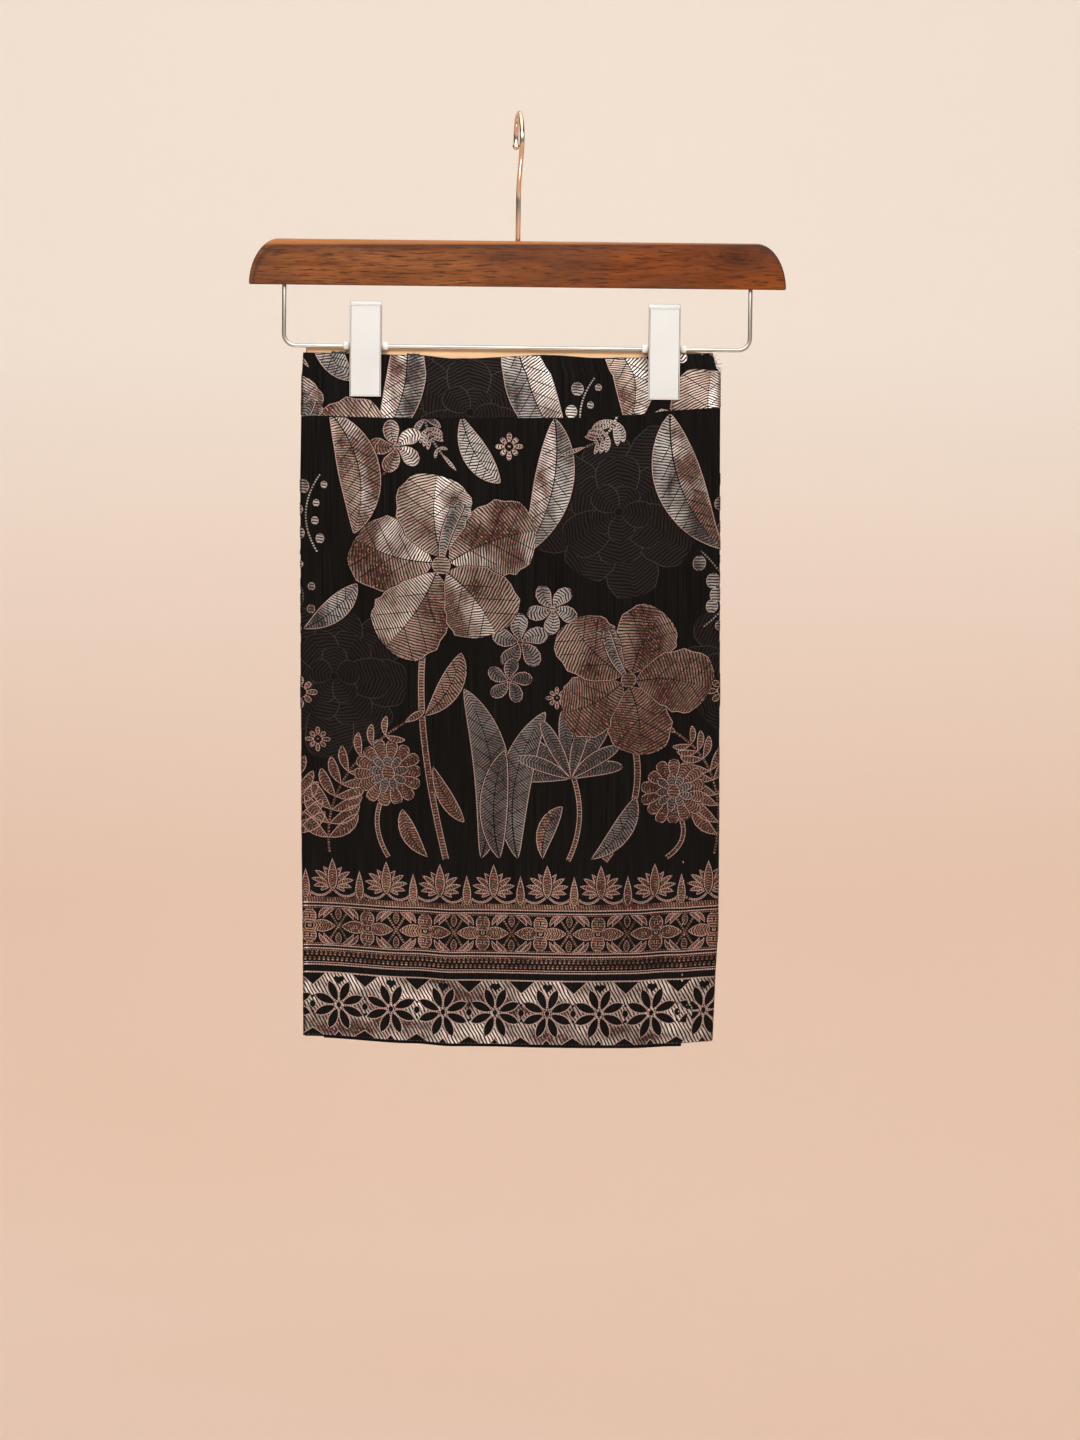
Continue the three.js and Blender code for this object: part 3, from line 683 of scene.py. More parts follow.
def pressed_plate(name, inset):
    """A sprung plate: a shallow pressed tray with rolled edges and two ears round the wire."""
    thick, width, height = CLIP["sheet"], CLIP["width"], CLIP["height"]
    face = -CLIP["reach"] - thick
    made = bmesh.new()
    bmesh.ops.create_cube(made, size=1.0)
    bmesh.ops.scale(made, vec=(width, thick, height), verts=made.verts)
    bmesh.ops.translate(made, vec=(0, face + thick / 2, height / 2 - CLIP["below"]), verts=made.verts)
    tray = [part for part in made.faces if part.normal.y < -0.9]
    bmesh.ops.inset_region(made, faces=tray, thickness=0.9, depth=0)
    bmesh.ops.inset_region(made, faces=tray, thickness=0.6, depth=-0.45)
    bore = LEGS["wire"] / 2 + CLEAR
    collar, root = bore + CLIP["ear"], face + thick * 0.6
    under, over = arc(bore, 0, math.pi, 15) * (-1, 1), arc(collar, 0, math.pi / 2, 9)
    outline = [(root, 0), *under, *over, (root, CLIP["rise"])]
    for sign in (-1, 1):
        ear = sign * (width / 2 - thick / 2 - inset)
        prism(made, outline, ear - thick / 2, ear + thick / 2, axis=0)
    plate = bmesh_object(name, made)
    plate.data.transform(Matrix.Scale(MM, 4))
    round_edges(plate, 0.55, 3, 50, 35)
    return plate


def make_spring(name):
    """A wound spring between the ears, its two arms pressing the plates apart at the top."""
    wire, turns = 0.8, 9
    radius, arm = SPRING["radius"] - wire / 2, CLIP["reach"] * 0.86
    ends, steps = (SPRING["length"] - wire) / 2, turns * 18 + 1
    coil = np.insert(arc(radius, 0, 2 * math.pi * turns, steps), 0, np.linspace(-ends, ends, steps), axis=1)
    leave = np.insert(arc(radius, 0, math.pi * 0.8, 8)[1:], 0, ends, axis=1)
    first = [(-ends, arm * 1.1, 12), (-ends, arm * 0.55, 5)]
    last = [(ends, -arm * 0.55, 5), (ends, -arm * 1.1, 12)]
    return tube(name, [*first, *coil, *leave, *last], wire, 8)


def make_clips():
    """Both clips: two plates each, the spring between them and a clear bush at either side."""
    level = LEGS["level"]
    grips = {"front": -LAYER_Y["front"] + WALL / 2 + CLEAR, "back": LAYER_Y["back"] + WALL / 2 + CLEAR}
    half, outer, inner, soft = BUSH["length"] / 2, BUSH["radius"], LEGS["wire"] / 2 + 0.15, 0.7
    rounded = (half - soft * 0.3, outer - soft * 0.3)
    shoulder = [(half - soft, outer), rounded, (half, outer - soft), (half, inner)]
    sleeve = [(-x, r) for x, r in reversed(shoulder)] + shoulder
    for side, x in CLIPS.items():
        for face, grip in grips.items():
            front = face == "front"
            plate = pressed_plate(f"clip_plate_{side}_{face}", 0 if front else CLIP["sheet"] + CLEAR)
            turn = Matrix.Identity(4) if front else Matrix.Rotation(math.pi, 4, "Z")
            tilt = Matrix.Rotation(plate_tilt(grip) * (1 if front else -1), 4, "X")
            plate.data.transform(TILT @ Matrix.Translation((x * MM, 0, level * MM)) @ tilt @ turn)
            fit(plate, "plate", f"clip_{side}_{face}")
            # the edge faces take the rim metal: painted shade round each plate
            plate.data.materials.append(MATERIALS["rim"])
            for part in plate.data.polygons:
                part.material_index = int(abs(part.normal.y) < 0.9)
        fit(hang(make_spring(f"coil_{side}"), x, level), "spring", f"spring_{side}")
        for label, sign in (("a", -1), ("b", 1)):
            bush = spun(f"bush_{side}_{label}_sleeve", sleeve)
            hang(bush, x + sign * (CLIP["width"] / 2 + CLEAR + half), level)
            fit(bush, "milky", f"bush_{side}_{label}")


make_hook()
make_wire()
make_bar()
make_clips()


# ---- the cloth itself

def cloth_shell(name, piece, columns, levels, inward=0.0):
    """A thin closed shell on the folded path, from a grid of distances along it and levels up it."""
    p, v = (side.ravel() for side in np.meshgrid(columns, levels, indexing="ij"))
    count, half = len(p), CLOTH["wall"] / 2
    sides = [drape(piece, p, v, off - inward) for off in (half, -half)]
    face = grid_faces(len(columns), len(levels))
    border = edge_loop(len(columns), len(levels))
    rim = [(a, b, b + count, a + count) for a, b in zip(border, border[1:] + border[:1])]
    faces = np.concatenate([face, face[:, ::-1] + count, np.array(rim)])
    uvs = np.tile(np.stack([p, v], axis=-1) * MM, (2, 1))
    shell = mesh_object(name, np.concatenate(sides), faces, uvs={"cloth": uvs, "fill": uvs})
    made = bmesh.new()
    made.from_mesh(shell.data)
    bmesh.ops.recalc_face_normals(made, faces=made.faces)
    made.to_mesh(shell.data)
    made.free()
    return shell


def edge_loop(columns, rows):
    """Indices round the border of a grid of points."""
    bottom = [i * rows for i in range(columns)]
    right = [(columns - 1) * rows + j for j in range(1, rows)]
    top = [i * rows + rows - 1 for i in range(columns - 2, -1, -1)]
    left = list(range(rows - 2, 0, -1))
    return bottom + right + top + left


def make_cloth():
    """Body, waistband and the tan strip inside the waistband's back; the mesh is denser round the folds."""
    stops = [P_START, P_UNDER, P_INNER, P_TUCK, 0, P_RIGHT, P_BACK, P_END]
    columns = []
    for a, b in zip(stops, stops[1:]):
        steps = CLOTH["turn_steps"] if b - a < 12 else math.ceil((b - a) / CLOTH["step"])
        columns += list(np.linspace(a, b, steps, endpoint=False))
    columns.append(P_END)
    body = cloth_shell("body_cloth", "body", columns, np.linspace(0, BODY_HEIGHT, CLOTH["body_rows"]))
    band = cloth_shell("waistband_cloth", "band", columns, np.linspace(0, BAND_HEIGHT, CLOTH["band_rows"]))
    across, up = np.linspace(P_BACK + 1.0, P_END - 0.5, 64), np.linspace(0.5, BAND_HEIGHT + 0.1, 10)
    facing = cloth_shell("facing_cloth", "band", across, up, LAYER_Y["back"] - LAYER_Y["lining"])
    for obj in (body, band):
        obj.data.set_sharp_from_angle(angle=math.radians(50))
        link(obj, MATERIALS["satin"])
    link(facing, MATERIALS["cotton"])
    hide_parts("body_outer", "body_inner")
    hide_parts("waistband_outer", "waistband_inner")
    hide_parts("waistband_facing")
    return body, band, facing


body_cloth, band_cloth, facing_cloth = make_cloth()


# ---- woven figures

def swell(s, belly, full):
    """Half width along a petal: nothing at both ends and 1 at the belly; 1 is an ellipse, 2 a lens."""
    s = np.clip(s, 1e-4, 1 - 1e-4)
    return (s / belly) ** (belly * full) * ((1 - s) / (1 - belly)) ** ((1 - belly) * full)


def polar(angle, radius):
    a = math.radians(angle)
    return np.array([math.cos(a), math.sin(a)]) * radius


class Weave:
    """Flat figures in the cloth's own plane, p across and v up, kept by kind of thread."""

    def __init__(self):
        self.parts = {}

    def strip(self, kind, line, low, high, level=0, cells=1, slant=0.0, chevron=True, coarse=1.0):
        """A band of cells along a line, between two distances to its left."""
        line = np.asarray(line, float)
        ahead = np.gradient(line, axis=0)
        ahead /= np.linalg.norm(ahead, axis=1)[:, None]
        left = np.stack([-ahead[:, 1], ahead[:, 0]], axis=-1)
        low, high = (np.broadcast_to(np.asarray(edge, float), len(line))[:, None] for edge in (low, high))
        across = low + (high - low) * np.linspace(0, 1, cells + 1)
        points = (line[:, None] + left[:, None] * across[..., None]).reshape(-1, 2)
        gone = np.concatenate([[0], np.cumsum(np.linalg.norm(np.diff(line, axis=0), axis=1))])[:, None]
        lean = np.abs(across) if chevron else across
        fill = np.stack([gone + slant * lean, across + 0 * gone], axis=-1).reshape(-1, 2) * coarse
        flat = np.insert(points, 2, level, axis=1)
        self.parts.setdefault(kind, []).append((flat, grid_faces(len(line), cells + 1), fill))

    def figure(self, line, half, kinds, level, cells, rim, gap, slant, rim_kind="bead"):
        """A filled band with a dark margin below it and a rim of outline thread on it; a pale rim also paints
        in the highlight along the figure's raised edge.
        """

        def pair(kind, inner, outer, level):
            self.strip(kind, line, inner, outer, level)
            self.strip(kind, line, -outer, -inner, level)

        if gap:
            pair("dark", np.maximum(half - 0.4, 0), half + gap, level)
        if kinds[0] == kinds[1]:
            self.strip(kinds[0], line, -half, half, level + 1, cells, slant)
        else:
            self.strip(kinds[0], line, 0 * half, half, level + 1, max(1, cells // 2), slant)
            self.strip(kinds[1], line, -half, 0 * half, level + 1, max(1, cells // 2), slant)
        if rim:
            pair(rim_kind, np.maximum(half - rim, 0), half, level + 2)

    def petal(self, root, tip, width, kind="copper", bend=0.0, level=0, rib=0.0, veins=0, other=None,
              belly=0.55, full=1.7, slant=0.45, rim=0.55, gap=0.7, ruffle=0.0, rim_kind="bead"):
        root, tip = np.asarray(root, float), np.asarray(tip, float)
        reach = tip - root
        length = np.hypot(*reach)
        left = np.array([-reach[1], reach[0]]) / length
        s = (1 - np.cos(np.pi * np.linspace(0, 1, max(7, int(length / 3.4)) + 1))) / 2
        line = root + reach * s[:, None] + left * (bend * 4 * s * (1 - s))[:, None]
        half = width / 2 * swell(s, belly, full) * (1 + ruffle * np.sin(s * length / 2.1))
        cells = 2 * max(1, round(width / 8))
        self.figure(line, half, (kind, other or kind), level, cells, rim, gap, slant, rim_kind)
        if rib:
            keep = s < 0.9
            taper = rib / 2 * (1 - 0.7 * s[keep])
            self.strip("dark", line[keep], -taper, taper, level + 2)
        for k in range(veins):
            at = 0.14 + 0.68 * (k + 0.5) / veins
            base = root + reach * at + left * bend * 4 * at * (1 - at)
            wide = width / 2 * swell(at, belly, full)
            for side in (-1, 1):
                end = base + reach / length * wide * 0.75 + left * side * wide * 0.86
                self.strip("dark", np.linspace(base, end, 4), -0.28, 0.28, level + 2)

    def disc(self, centre, radius, kind="copper", level=0, rim=0.5, gap=0.6, tall=1.0):
        centre, up = np.asarray(centre, float), np.array([0, radius * tall])
        self.petal(centre - up, centre + up, 2 * radius, kind, 0, level, belly=0.5, full=1.0, slant=0.0,
                   rim=rim, gap=gap)

    def stem(self, points, width, kind="copper", level=0, rim=0.45, gap=0.6):
        """A stalk of even width through a few points."""
        points = np.asarray(points, float)
        knots = np.linspace(0, 1, len(points))
        t = np.linspace(0, 1, max(8, int(np.linalg.norm(np.diff(points, axis=0), axis=1).sum() / 3.5)))
        factors = (np.polyfit(knots, side, len(points) - 1) for side in points.T)
        curve = np.stack([np.polyval(row, t) for row in factors], axis=-1)
        self.figure(curve, np.full(len(t), width / 2), (kind, kind), level, 1, rim, gap, 0.5)
        return curve

    def bloom(self, centre, radius, petals, width, turn=0.0, level=0, bend=0.0, start=0.1, uneven=0.12,
              **style):
        """A ring of petals, each second one above its neighbours."""
        for k in range(petals):
            angle = turn + 360 * k / petals
            reach = radius * (1 + uneven * math.sin(2.3 * k + turn))
            above = 6 if petals % 2 and k == petals - 1 else 3 * (k % 2)
            self.petal(centre + polar(angle, radius * start), centre + polar(angle, reach), width,
                       bend=bend * radius, level=level + above, **style)

    def hibiscus(self, centre, radius, turn, level=0, other="copper"):
        self.bloom(centre, radius, 5, radius * 0.82, turn, level, 0.06, belly=0.64, full=1.15, other=other,
                   rib=0.9, veins=3, ruffle=0.045, uneven=0.08)
        self.petal(centre, centre + polar(turn + 52, radius * 0.72), radius * 0.13, "silver", radius * 0.05,
                   level + 10, belly=0.7, full=0.8)
        for k in range(7):
            at = centre + polar(turn + 52 + 7 * (-1) ** k, radius * (0.42 + 0.055 * k))
            self.disc(at, radius * 0.032, "silver", level + 12, rim=0, gap=0.4)
        self.disc(centre, radius * 0.1, "copper", level + 13)

    def peony(self, centre, radius, turn, level=0):
        """A black flower of rounded petals, seen only by its ribs and its thin grey outlines."""
        rings = (  # share of the radius, petals, width, turn, level, belly, fullness, ruffle
            (1.0, 8, 0.64, 0, 0, 0.68, 0.85, 0.03),
            (0.66, 6, 0.55, 20, 7, 0.66, 0.85, 0),
            (0.36, 5, 0.34, 50, 13, 0.62, 0.9, 0),
        )
        for share, petals, width, more, above, belly, full, ruffle in rings:
            self.bloom(centre, radius * share, petals, radius * width, turn + more, level + above, kind="ink",
                       rim_kind="grey", rim=0.5, gap=0.0, belly=belly, full=full, ruffle=ruffle)

    def frangipani(self, centre, radius, turn, level=0, kind="silver"):
        self.bloom(centre, radius, 5, radius * 0.62, turn, level, 0.14, belly=0.62, full=1.25, kind=kind,
                   uneven=0.0, rib=0.5)
        self.disc(centre, radius * 0.12, "copper", level + 9, gap=0.5)

    def aster(self, centre, radius, turn, level=0):
        self.bloom(centre, radius, 14, radius * 0.36, turn, level, 0, 0.35, 0.04, belly=0.7, full=1.1)
        self.bloom(centre, radius * 0.58, 9, radius * 0.26, turn + 8, level + 7, 0, 0.3, kind="silver",
                   full=1.2)
        self.disc(centre, radius * 0.2, "copper", level + 13)

    def fern(self, points, leaf, pairs, level=0, kind="copper"):
        curve = self.stem(points, 1.6, kind, level, rim=0, gap=0.5)
        for k in range(pairs):
            at = int((0.12 + 0.82 * k / pairs) * (len(curve) - 2))
            ahead = curve[at + 1] - curve[at]
            heading = math.degrees(math.atan2(ahead[1], ahead[0]))
            size = leaf * (1 - 0.55 * k / pairs)
            for side in (-1, 1):
                tip = curve[at] + polar(heading + side * 48, size)
                self.petal(curve[at], tip, size * 0.34, kind, side * size * 0.08, level + 1, gap=0.4)
        self.petal(curve[-3], curve[-1] + (curve[-1] - curve[-2]) * 1.5, leaf * 0.2, kind, level=level + 2)

    def berries(self, points, radius, level=0):
        curve = self.stem(points, 1.1, "silver", level, rim=0, gap=0.4)
        for k, side in zip(range(2, len(curve) - 1, 2), [-1, 1] * len(curve)):
            ahead = curve[k + 1] - curve[k]
            across = polar(math.degrees(math.atan2(ahead[1], ahead[0])) + 90 * side, radius * 1.5)
            size = radius * (0.8 + 0.25 * math.sin(k * 1.7))
            self.disc(curve[k] + across, size, "silver", level + 1, rim=0.4, tall=1.15)

    def palm(self, root, radius, count, turn, spread, level=0):
        for k in range(count):
            angle = turn + spread * (k / (count - 1) - 0.5)
            reach = radius * (1 - 0.25 * abs(2 * k / (count - 1) - 1))
            self.petal(root, root + polar(angle, reach), radius * 0.2, "silver", (k - count / 2) * -0.7,
                       level + 3 * (k % 2), 0.6, belly=0.6, full=1.3, gap=0.6)

    def rosette(self, centre, size, level=0):
        """A small eight-lobed diamond."""
        for k in range(8):
            root, tip = (centre + polar(45 * k, size * part) for part in (0.34, 0.84 if k % 2 else 1.0))
            self.petal(root, tip, size * 0.36, level=level, full=1.1, rim=0.5, gap=0.4)
        up = polar(90, size * 0.42)
        self.petal(centre - up, centre + up, size * 0.8, "dark", belly=0.5, full=2.2, level=level + 3, gap=0)
        self.disc(centre, size * 0.1, "copper", level + 6, rim=0, gap=0)


def garden():
    """One repeat of the free pattern above the border: 300 wide, from 132 up to 450."""
    w = Weave()
    stems = (  # three points down the stalk, width
        ((92, 318), (84, 240), (101, 133), 4.4),
        ((231, 230), (236, 180), (214, 133), 4.4),
        ((62, 186), (52, 160), (60, 133), 3.2),
        ((262, 172), (270, 150), (258, 133), 3.2),
        ((190, 198), (196, 165), (188, 133), 3.4),
    )
    leaves = (  # root, tip, width, thread, bend, level, midrib, veins, other thread, belly, fullness, slant
        ((126, 134), (114, 256), 26, "silver", -14, 3, 1.1, 7, None, 0.5, 1.5, 0.7),
        ((152, 134), (172, 240), 23, "silver", 12, 8, 1.1, 7, None, 0.5, 1.5, 0.7),
        ((139, 134), (143, 212), 20, "silver", 6, 13, 1.1, 7, None, 0.5, 1.5, 0.7),
        ((88, 134), (70, 168), 12, "copper", 4, 10, 0.8),
        ((86, 236), (112, 282), 17, "copper", -5, 12, 0.9, 4),
        ((92, 200), (114, 160), 11, "copper", -3, 14, 0.8),
        ((204, 134), (236, 178), 15, "silver", -6, 6, 0.8, 4),
        ((170, 134), (184, 172), 13, "copper", 5, 11, 0.8, 3, "silver"),
        ((260, 448), (297, 350), 34, "pale", -11, 23, 1.2, 7, "silver", 0.45),
        ((178, 450), (156, 352), 28, "silver", 10, 23, 1.1, 6, "pale", 0.45),
        ((18, 454), (36, 366), 30, "pale", 13, 20, 1.0, 6, "copper", 0.5),
        ((0, 296), (38, 330), 17, "silver", -4, 23, 0.8, 4),
        ((112, 452), (140, 404), 19, "silver", -5, 16, 0.8, 5),
    )
    flowers = (  # kind, centre, size, turn, level and thread
        (w.peony, (224, 382), 58, 12, 0),
        (w.peony, (22, 262), 54, 40, 0),
        (w.aster, (60, 194), 24, 5, 18),
        (w.aster, (263, 180), 23, 12, 18),
        (w.hibiscus, (98, 345), 66, 20, 28, "pale"),
        (w.hibiscus, (231, 262), 55, 62, 26),
        (w.frangipani, (154, 290), 20, 10, 0),
        (w.frangipani, (177, 314), 18, 40, 11),
        (w.frangipani, (146, 262), 16, 70, 11),
        (w.frangipani, (66, 430), 19, 25, 10, "pale"),
        (w.rosette, (10, 216), 9, 23),
        (w.rosette, (146, 430), 10, 23),
        (w.rosette, (298, 250), 12, 23),
        (w.rosette, (180, 250), 8, 23),
    )
    sprays = (  # kind, points, size, then pairs, level and thread of a fern, or the level of berries
        (w.fern, [(18, 134), (30, 190), (80, 236)], 28, 9, 4),
        (w.fern, [(292, 134), (290, 190), (258, 226)], 26, 9, 4),
        (w.fern, [(86, 450), (92, 434), (104, 418)], 13, 5, 4, "silver"),
        (w.fern, [(222, 450), (212, 436), (190, 426)], 17, 5, 27, "silver"),
        (w.berries, [(284, 296), (300, 320), (282, 350)], 4.6, 14),
        (w.berries, [(10, 352), (2, 380), (12, 408)], 4.2, 14),
        (w.berries, [(60, 412), (46, 398), (48, 384)], 3.6, 16),
    )
    for *points, width in stems:
        w.stem(points, width)
    w.palm((190, 192), 50, 9, 96, 168, 6)
    for row in leaves:
        w.petal(*row)
    for kind, centre, *rest in flowers:
        kind(np.asarray(centre, float), *rest)
    for kind, *rest in sprays:
        kind(*rest)
    return w


BARE = {"gap": 0, "rim": 0}  # a figure with neither margin nor rim
BORDER_RUN = np.arange(-12, P_END + 16, 4.0)  # the whole width that shows, and a little more


def every(first, period):
    """Where the repeats of a border motif fall."""
    return [first + period * k for k in range(-2, int((P_END - first) / period) + 2)]


def line_at(w, v, thick):
    """A line of bright thread right across."""
    w.strip("bead", np.stack([BORDER_RUN, 0 * BORDER_RUN + v], axis=-1), -thick / 2, thick / 2, 3)


def ground(w, low, high, cells=1, slant=0.6, kind="russet", coarse=1.0):
    """A plain band of metallic ground right across."""
    line = np.stack([BORDER_RUN, 0 * BORDER_RUN + low], axis=-1)
    w.strip(kind, line, 0, high - low, 0, cells, slant, chevron=False, coarse=coarse)


def triangle(w, centre, base, tip, half):
    """A dark triangle with bright sides, from the heights of its base and its tip."""
    share = np.linspace(1, 0.01, 5)
    w.strip("dark", np.linspace((centre, base), (centre, tip), 5), -half * share, half * share, 1, 4)
    for side in (-1, 1):
        w.strip("bead", np.linspace((centre + side * half, base), (centre, tip), 5), -0.28, 0.28, 2)


def bright_band(w):
    """The lowest band: dark stars of eight petals on gleaming ground, its sheen painted into the thread's
    colour, between rows of triangles.
    """
    ground(w, 0.3, 45.6, 11, 0.55, "gleam", 0.80)
    for p in every(24.0, 37.7):
        middle, between = np.array([p, 22.6]), p + 18.85
        for angle in np.arange(22.5, 360, 45):
            w.petal(middle + polar(angle, 2.6), middle + polar(angle, 18.6), 7.4, "dark", level=1, belly=0.54,
                    full=1.35, gap=0, rim=0.7)
        w.disc(middle, 2.3, "dark", 4, rim=0.6, gap=0)
        w.disc((between, 22.6), 2.7, "dark", 1, gap=0)
        for at in ((between, 28.2), (between, 17.0)):
            w.disc(at, 1.0, "dark", 1, **BARE)
        for at, base, tip, half in ((between, 45.4, 36.4, 9.6), (between, 0.4, 5.6, 8.0), (p, 0.4, 4.0, 3.2)):
            triangle(w, at, base, tip, half)
        for side in (-1, 1):
            w.disc((p + side * 1.7, 41.6), 2.0, "dark", 1, **BARE)
        point = np.array([3.3, 2.2, 1.1, 0.05])
        w.strip("dark", np.linspace((p, 41.4), (p, 37.4), 4), -point, point, 1, 2)


def bead_rows(w):
    """Two rows of small beads, and the lines and narrow bands between the broad ones."""
    for row, v in enumerate((55.8, 59.6)):
        for p in every(1.6 * row, 3.3):
            w.petal((p, v - 1.5), (p, v + 1.5), 2.1, "russet", belly=0.5, full=1.6, **BARE)
    for thick, levels in ((0.9, (51.6, 63.4, 96.8)), (0.8, (46.0, 65.8, 94.4)), (0.5, (53.2,))):
        for v in levels:
            line_at(w, v, thick)
    for low, high in ((61.4, 62.4), (66.7, 67.6), (92.6, 93.4)):
        ground(w, low, high)
    ground(w, 97.6, 101.0, slant=0.2)


def flower_band(w):
    """Russet flowers of discs and leaves, each the same to all four quarters."""
    for p in every(44.5, 41.3):
        mid = np.array([p, 80.0])
        w.disc(mid, 1.3, "russet", 5, gap=0.4, rim=0.4)
        for side in (-1, 1):
            w.disc(mid + [0, side * 6.9], 5.0, "russet", 2, gap=0, tall=1.12)
            w.petal(mid + [side * 2.4, 0], mid + [side * 18.6, 0], 9.4, "russet", level=2, belly=0.38,
                    full=1.5, gap=0)
            w.disc(mid + [0, side * 6.9], 1.3, "dark", 5, gap=0, rim=0.4)
            w.disc(mid + [side * 8.4, 0], 1.2, "dark", 5, gap=0, rim=0.4)
            for up in (-1, 1):
                for reach, low, slant in ((0, 5.4, 1.12), (3.4, 5.2, 0.8)):
                    w.petal(mid + [side * (6.6 + reach), up * low], mid + [side * (14.6 + reach), up * 12.9],
                            3.6, "russet", side * up * 1.7, 2, gap=0, rim=0.5, slant=slant)
                outer = mid + [side * 20.65, 0]
                w.petal(outer + [0, up * 4.4], outer + [0, up * 12.9], 4.6, "russet", level=2, gap=0)
                w.strip("russet", np.linspace(mid + [side * 14.9, up * 9.2], outer, 4), -0.7, 0.7, 2)


# angle, reach and width of each leaf to one side of a shoot
SHOOT_LEAVES = ((66, 16, 4.0), (43, 17, 4.0), (21, 16, 3.8), (1, 13.5, 3.4), (-20, 9, 2.8))


def shoots(w):
    """The pointed shoots at the top: sprays of leaves over hanging loops."""
    for p in every(20.0, 38.3):
        root = np.array([p, 108.5])
        for side in (-1, 1):
            dip = [(p, 108), (p + side * 6, 102.6), (p + side * 13, 102.8), (p + side * 19.15, 108)]
            w.stem(dip[::side], 1.5, "russet", rim=0.5, gap=0)
            w.strip("russet", [(p + side * 15, 101), (p + side * 19.15, 101)][::side], 0, 5, 0, 2)
            for angle, reach, width in SHOOT_LEAVES:
                heading = angle if side > 0 else 180 - angle
                inner, outer = (root + polar(heading, away) for away in (2, reach))
                w.petal(inner, outer, width, "russet", side * 1.2, 1, gap=0.9, full=1.9)
        w.petal((p, 105.5), (p, 129.5), 7.0, "russet", level=5, belly=0.42, full=1.9, gap=0.9)
        w.petal((p + 19.15, 100), (p + 19.15, 121.5), 6.0, "russet", level=3, belly=0.34, full=1.8, gap=0.6)


def painted_crease_glints(w):
    """Painted glints: short pale dashes where the cloth was ironed flat near the right fold, standing in for
    the light the crease catches.
    """
    rnd = random.Random(5)
    pressed = PINCH["start"] - X_LEFT
    for v in np.arange(1.0, 131.0, 2.6):
        if rnd.random() < 0.5:
            p = pressed + rnd.uniform(-1.3, 1.3)
            end = (p + rnd.uniform(-0.4, 0.4), v + rnd.uniform(0.8, 2.4))
            w.strip("gleam", [(p, v), end], -0.24, 0.24, 7)


def border():
    """The hem border, worked out from its own periods."""
    w = Weave()
    for part in (bright_band, bead_rows, flower_band, shoots, painted_crease_glints):
        part(w)
    return w


FOLD_CUTS = [0.0, P_TUCK, P_RIGHT, P_BACK]
FOLD_CUTS += [P_TUCK * k / 6 for k in range(1, 6)]
FOLD_CUTS += [P_RIGHT + (P_BACK - P_RIGHT) * k / 8 for k in range(1, 8)]


def cut_out(mesh, window):
    """Cuts flat figures to a window, and across at the folds so that they can turn with the cloth."""
    made = bmesh.new()
    made.from_mesh(mesh)
    bmesh.ops.delete(made, geom=[vert for vert in made.verts if not vert.link_faces], context="VERTS")

    def cut(near, at, normal, clear):
        geom = list(dict.fromkeys(part for face in near for part in (face, *face.verts, *face.edges)))
        place = [at * abs(side) for side in normal]
        bmesh.ops.bisect_plane(made, geom=geom, plane_co=place, plane_no=normal, clear_outer=clear)

    for at, normal in zip(window, ((-1, 0, 0), (1, 0, 0), (0, -1, 0), (0, 1, 0))):
        cut(made.faces, at, normal, True)
    for at in FOLD_CUTS:
        near = [face for face in made.faces if abs(face.calc_center_median().x - at) < 12]
        cut(near, at, (1, 0, 0), False)
    made.to_mesh(mesh)
    made.free()


def lay(name, piece, figures, kind, window, repeats=(0.0,), shift=(0.0, 0.0), base=0.08, step=0.02):
    """Cuts figures to a window of the cloth and drapes them a hair above it."""
    points, faces, fill, count = [], [], [], 0
    for across in repeats:
        for flat, cells, threads in figures.parts[kind]:
            points.append(flat + [across + shift[0], shift[1], 0])
            faces.append(cells + count)
            fill.append(threads * MM)
            count += len(flat)
    points, faces, fill = (np.concatenate(part) for part in (points, faces, fill))
    (p, v, _), (left, right, foot, top) = points.T, window
    inside = (p > left - 1) & (p < right + 1) & (v > foot - 1) & (v < top + 1)
    faces = faces[inside[faces].any(axis=1)]
    obj = mesh_object(name, points, faces, uvs={"fill": fill, "cloth": fill})
    mesh = obj.data
    cut_out(mesh, window)
    flat = np.zeros(len(mesh.vertices) * 3)
    mesh.vertices.foreach_get("co", flat)
    flat = flat.reshape(-1, 3)
    p, v, level = flat.T
    mesh.uv_layers["cloth"].data.foreach_set("uv", (flat[corners(mesh), :2] * MM).astype(np.float32).ravel())
    draped = drape(piece, p, v, CLOTH["wall"] / 2 + base + step * level)
    mesh.vertices.foreach_set("co", draped.astype(np.float32).ravel())
    shade_smooth(mesh)
    mesh.update()
    return link(obj, MATERIALS[kind])


SHOWN = (-4.0, P_END - 0.3)  # the part of the cloth's width that shows, front then back
BAND_CUT = {"from": 378.0, "shift": -106.0}  # the strip of the pattern that the waistband is cut from


def weave_cloth():
    """Lays every kind of figure on the body and on the waistband."""
    pattern, hem = garden(), border()
    repeats = (-TILE, 0.0, TILE, 2 * TILE)
    above, below = (*SHOWN, 131.5, BODY_HEIGHT - 0.3), (*SHOWN, 0.2, 131.5)
    band, cut = (*SHOWN, 0.3, BAND_HEIGHT - 0.3), (BAND_CUT["shift"], -BAND_CUT["from"])
    body_pieces, band_pieces = [], []
    for kind in ("dark", "copper", "pale", "silver", "ink", "bead", "grey"):
        body_pieces.append(lay(f"pattern_{kind}", "body", pattern, kind, above, repeats))
        band_pieces.append(lay(f"waistband_{kind}", "band", pattern, kind, band, repeats, cut, 0.05, 0.008))
    for kind in ("dark", "russet", "gleam", "bead"):
        body_pieces.append(lay(f"border_{kind}", "body", hem, kind, below))
    return body_pieces, band_pieces


body_figures, band_figures = weave_cloth()


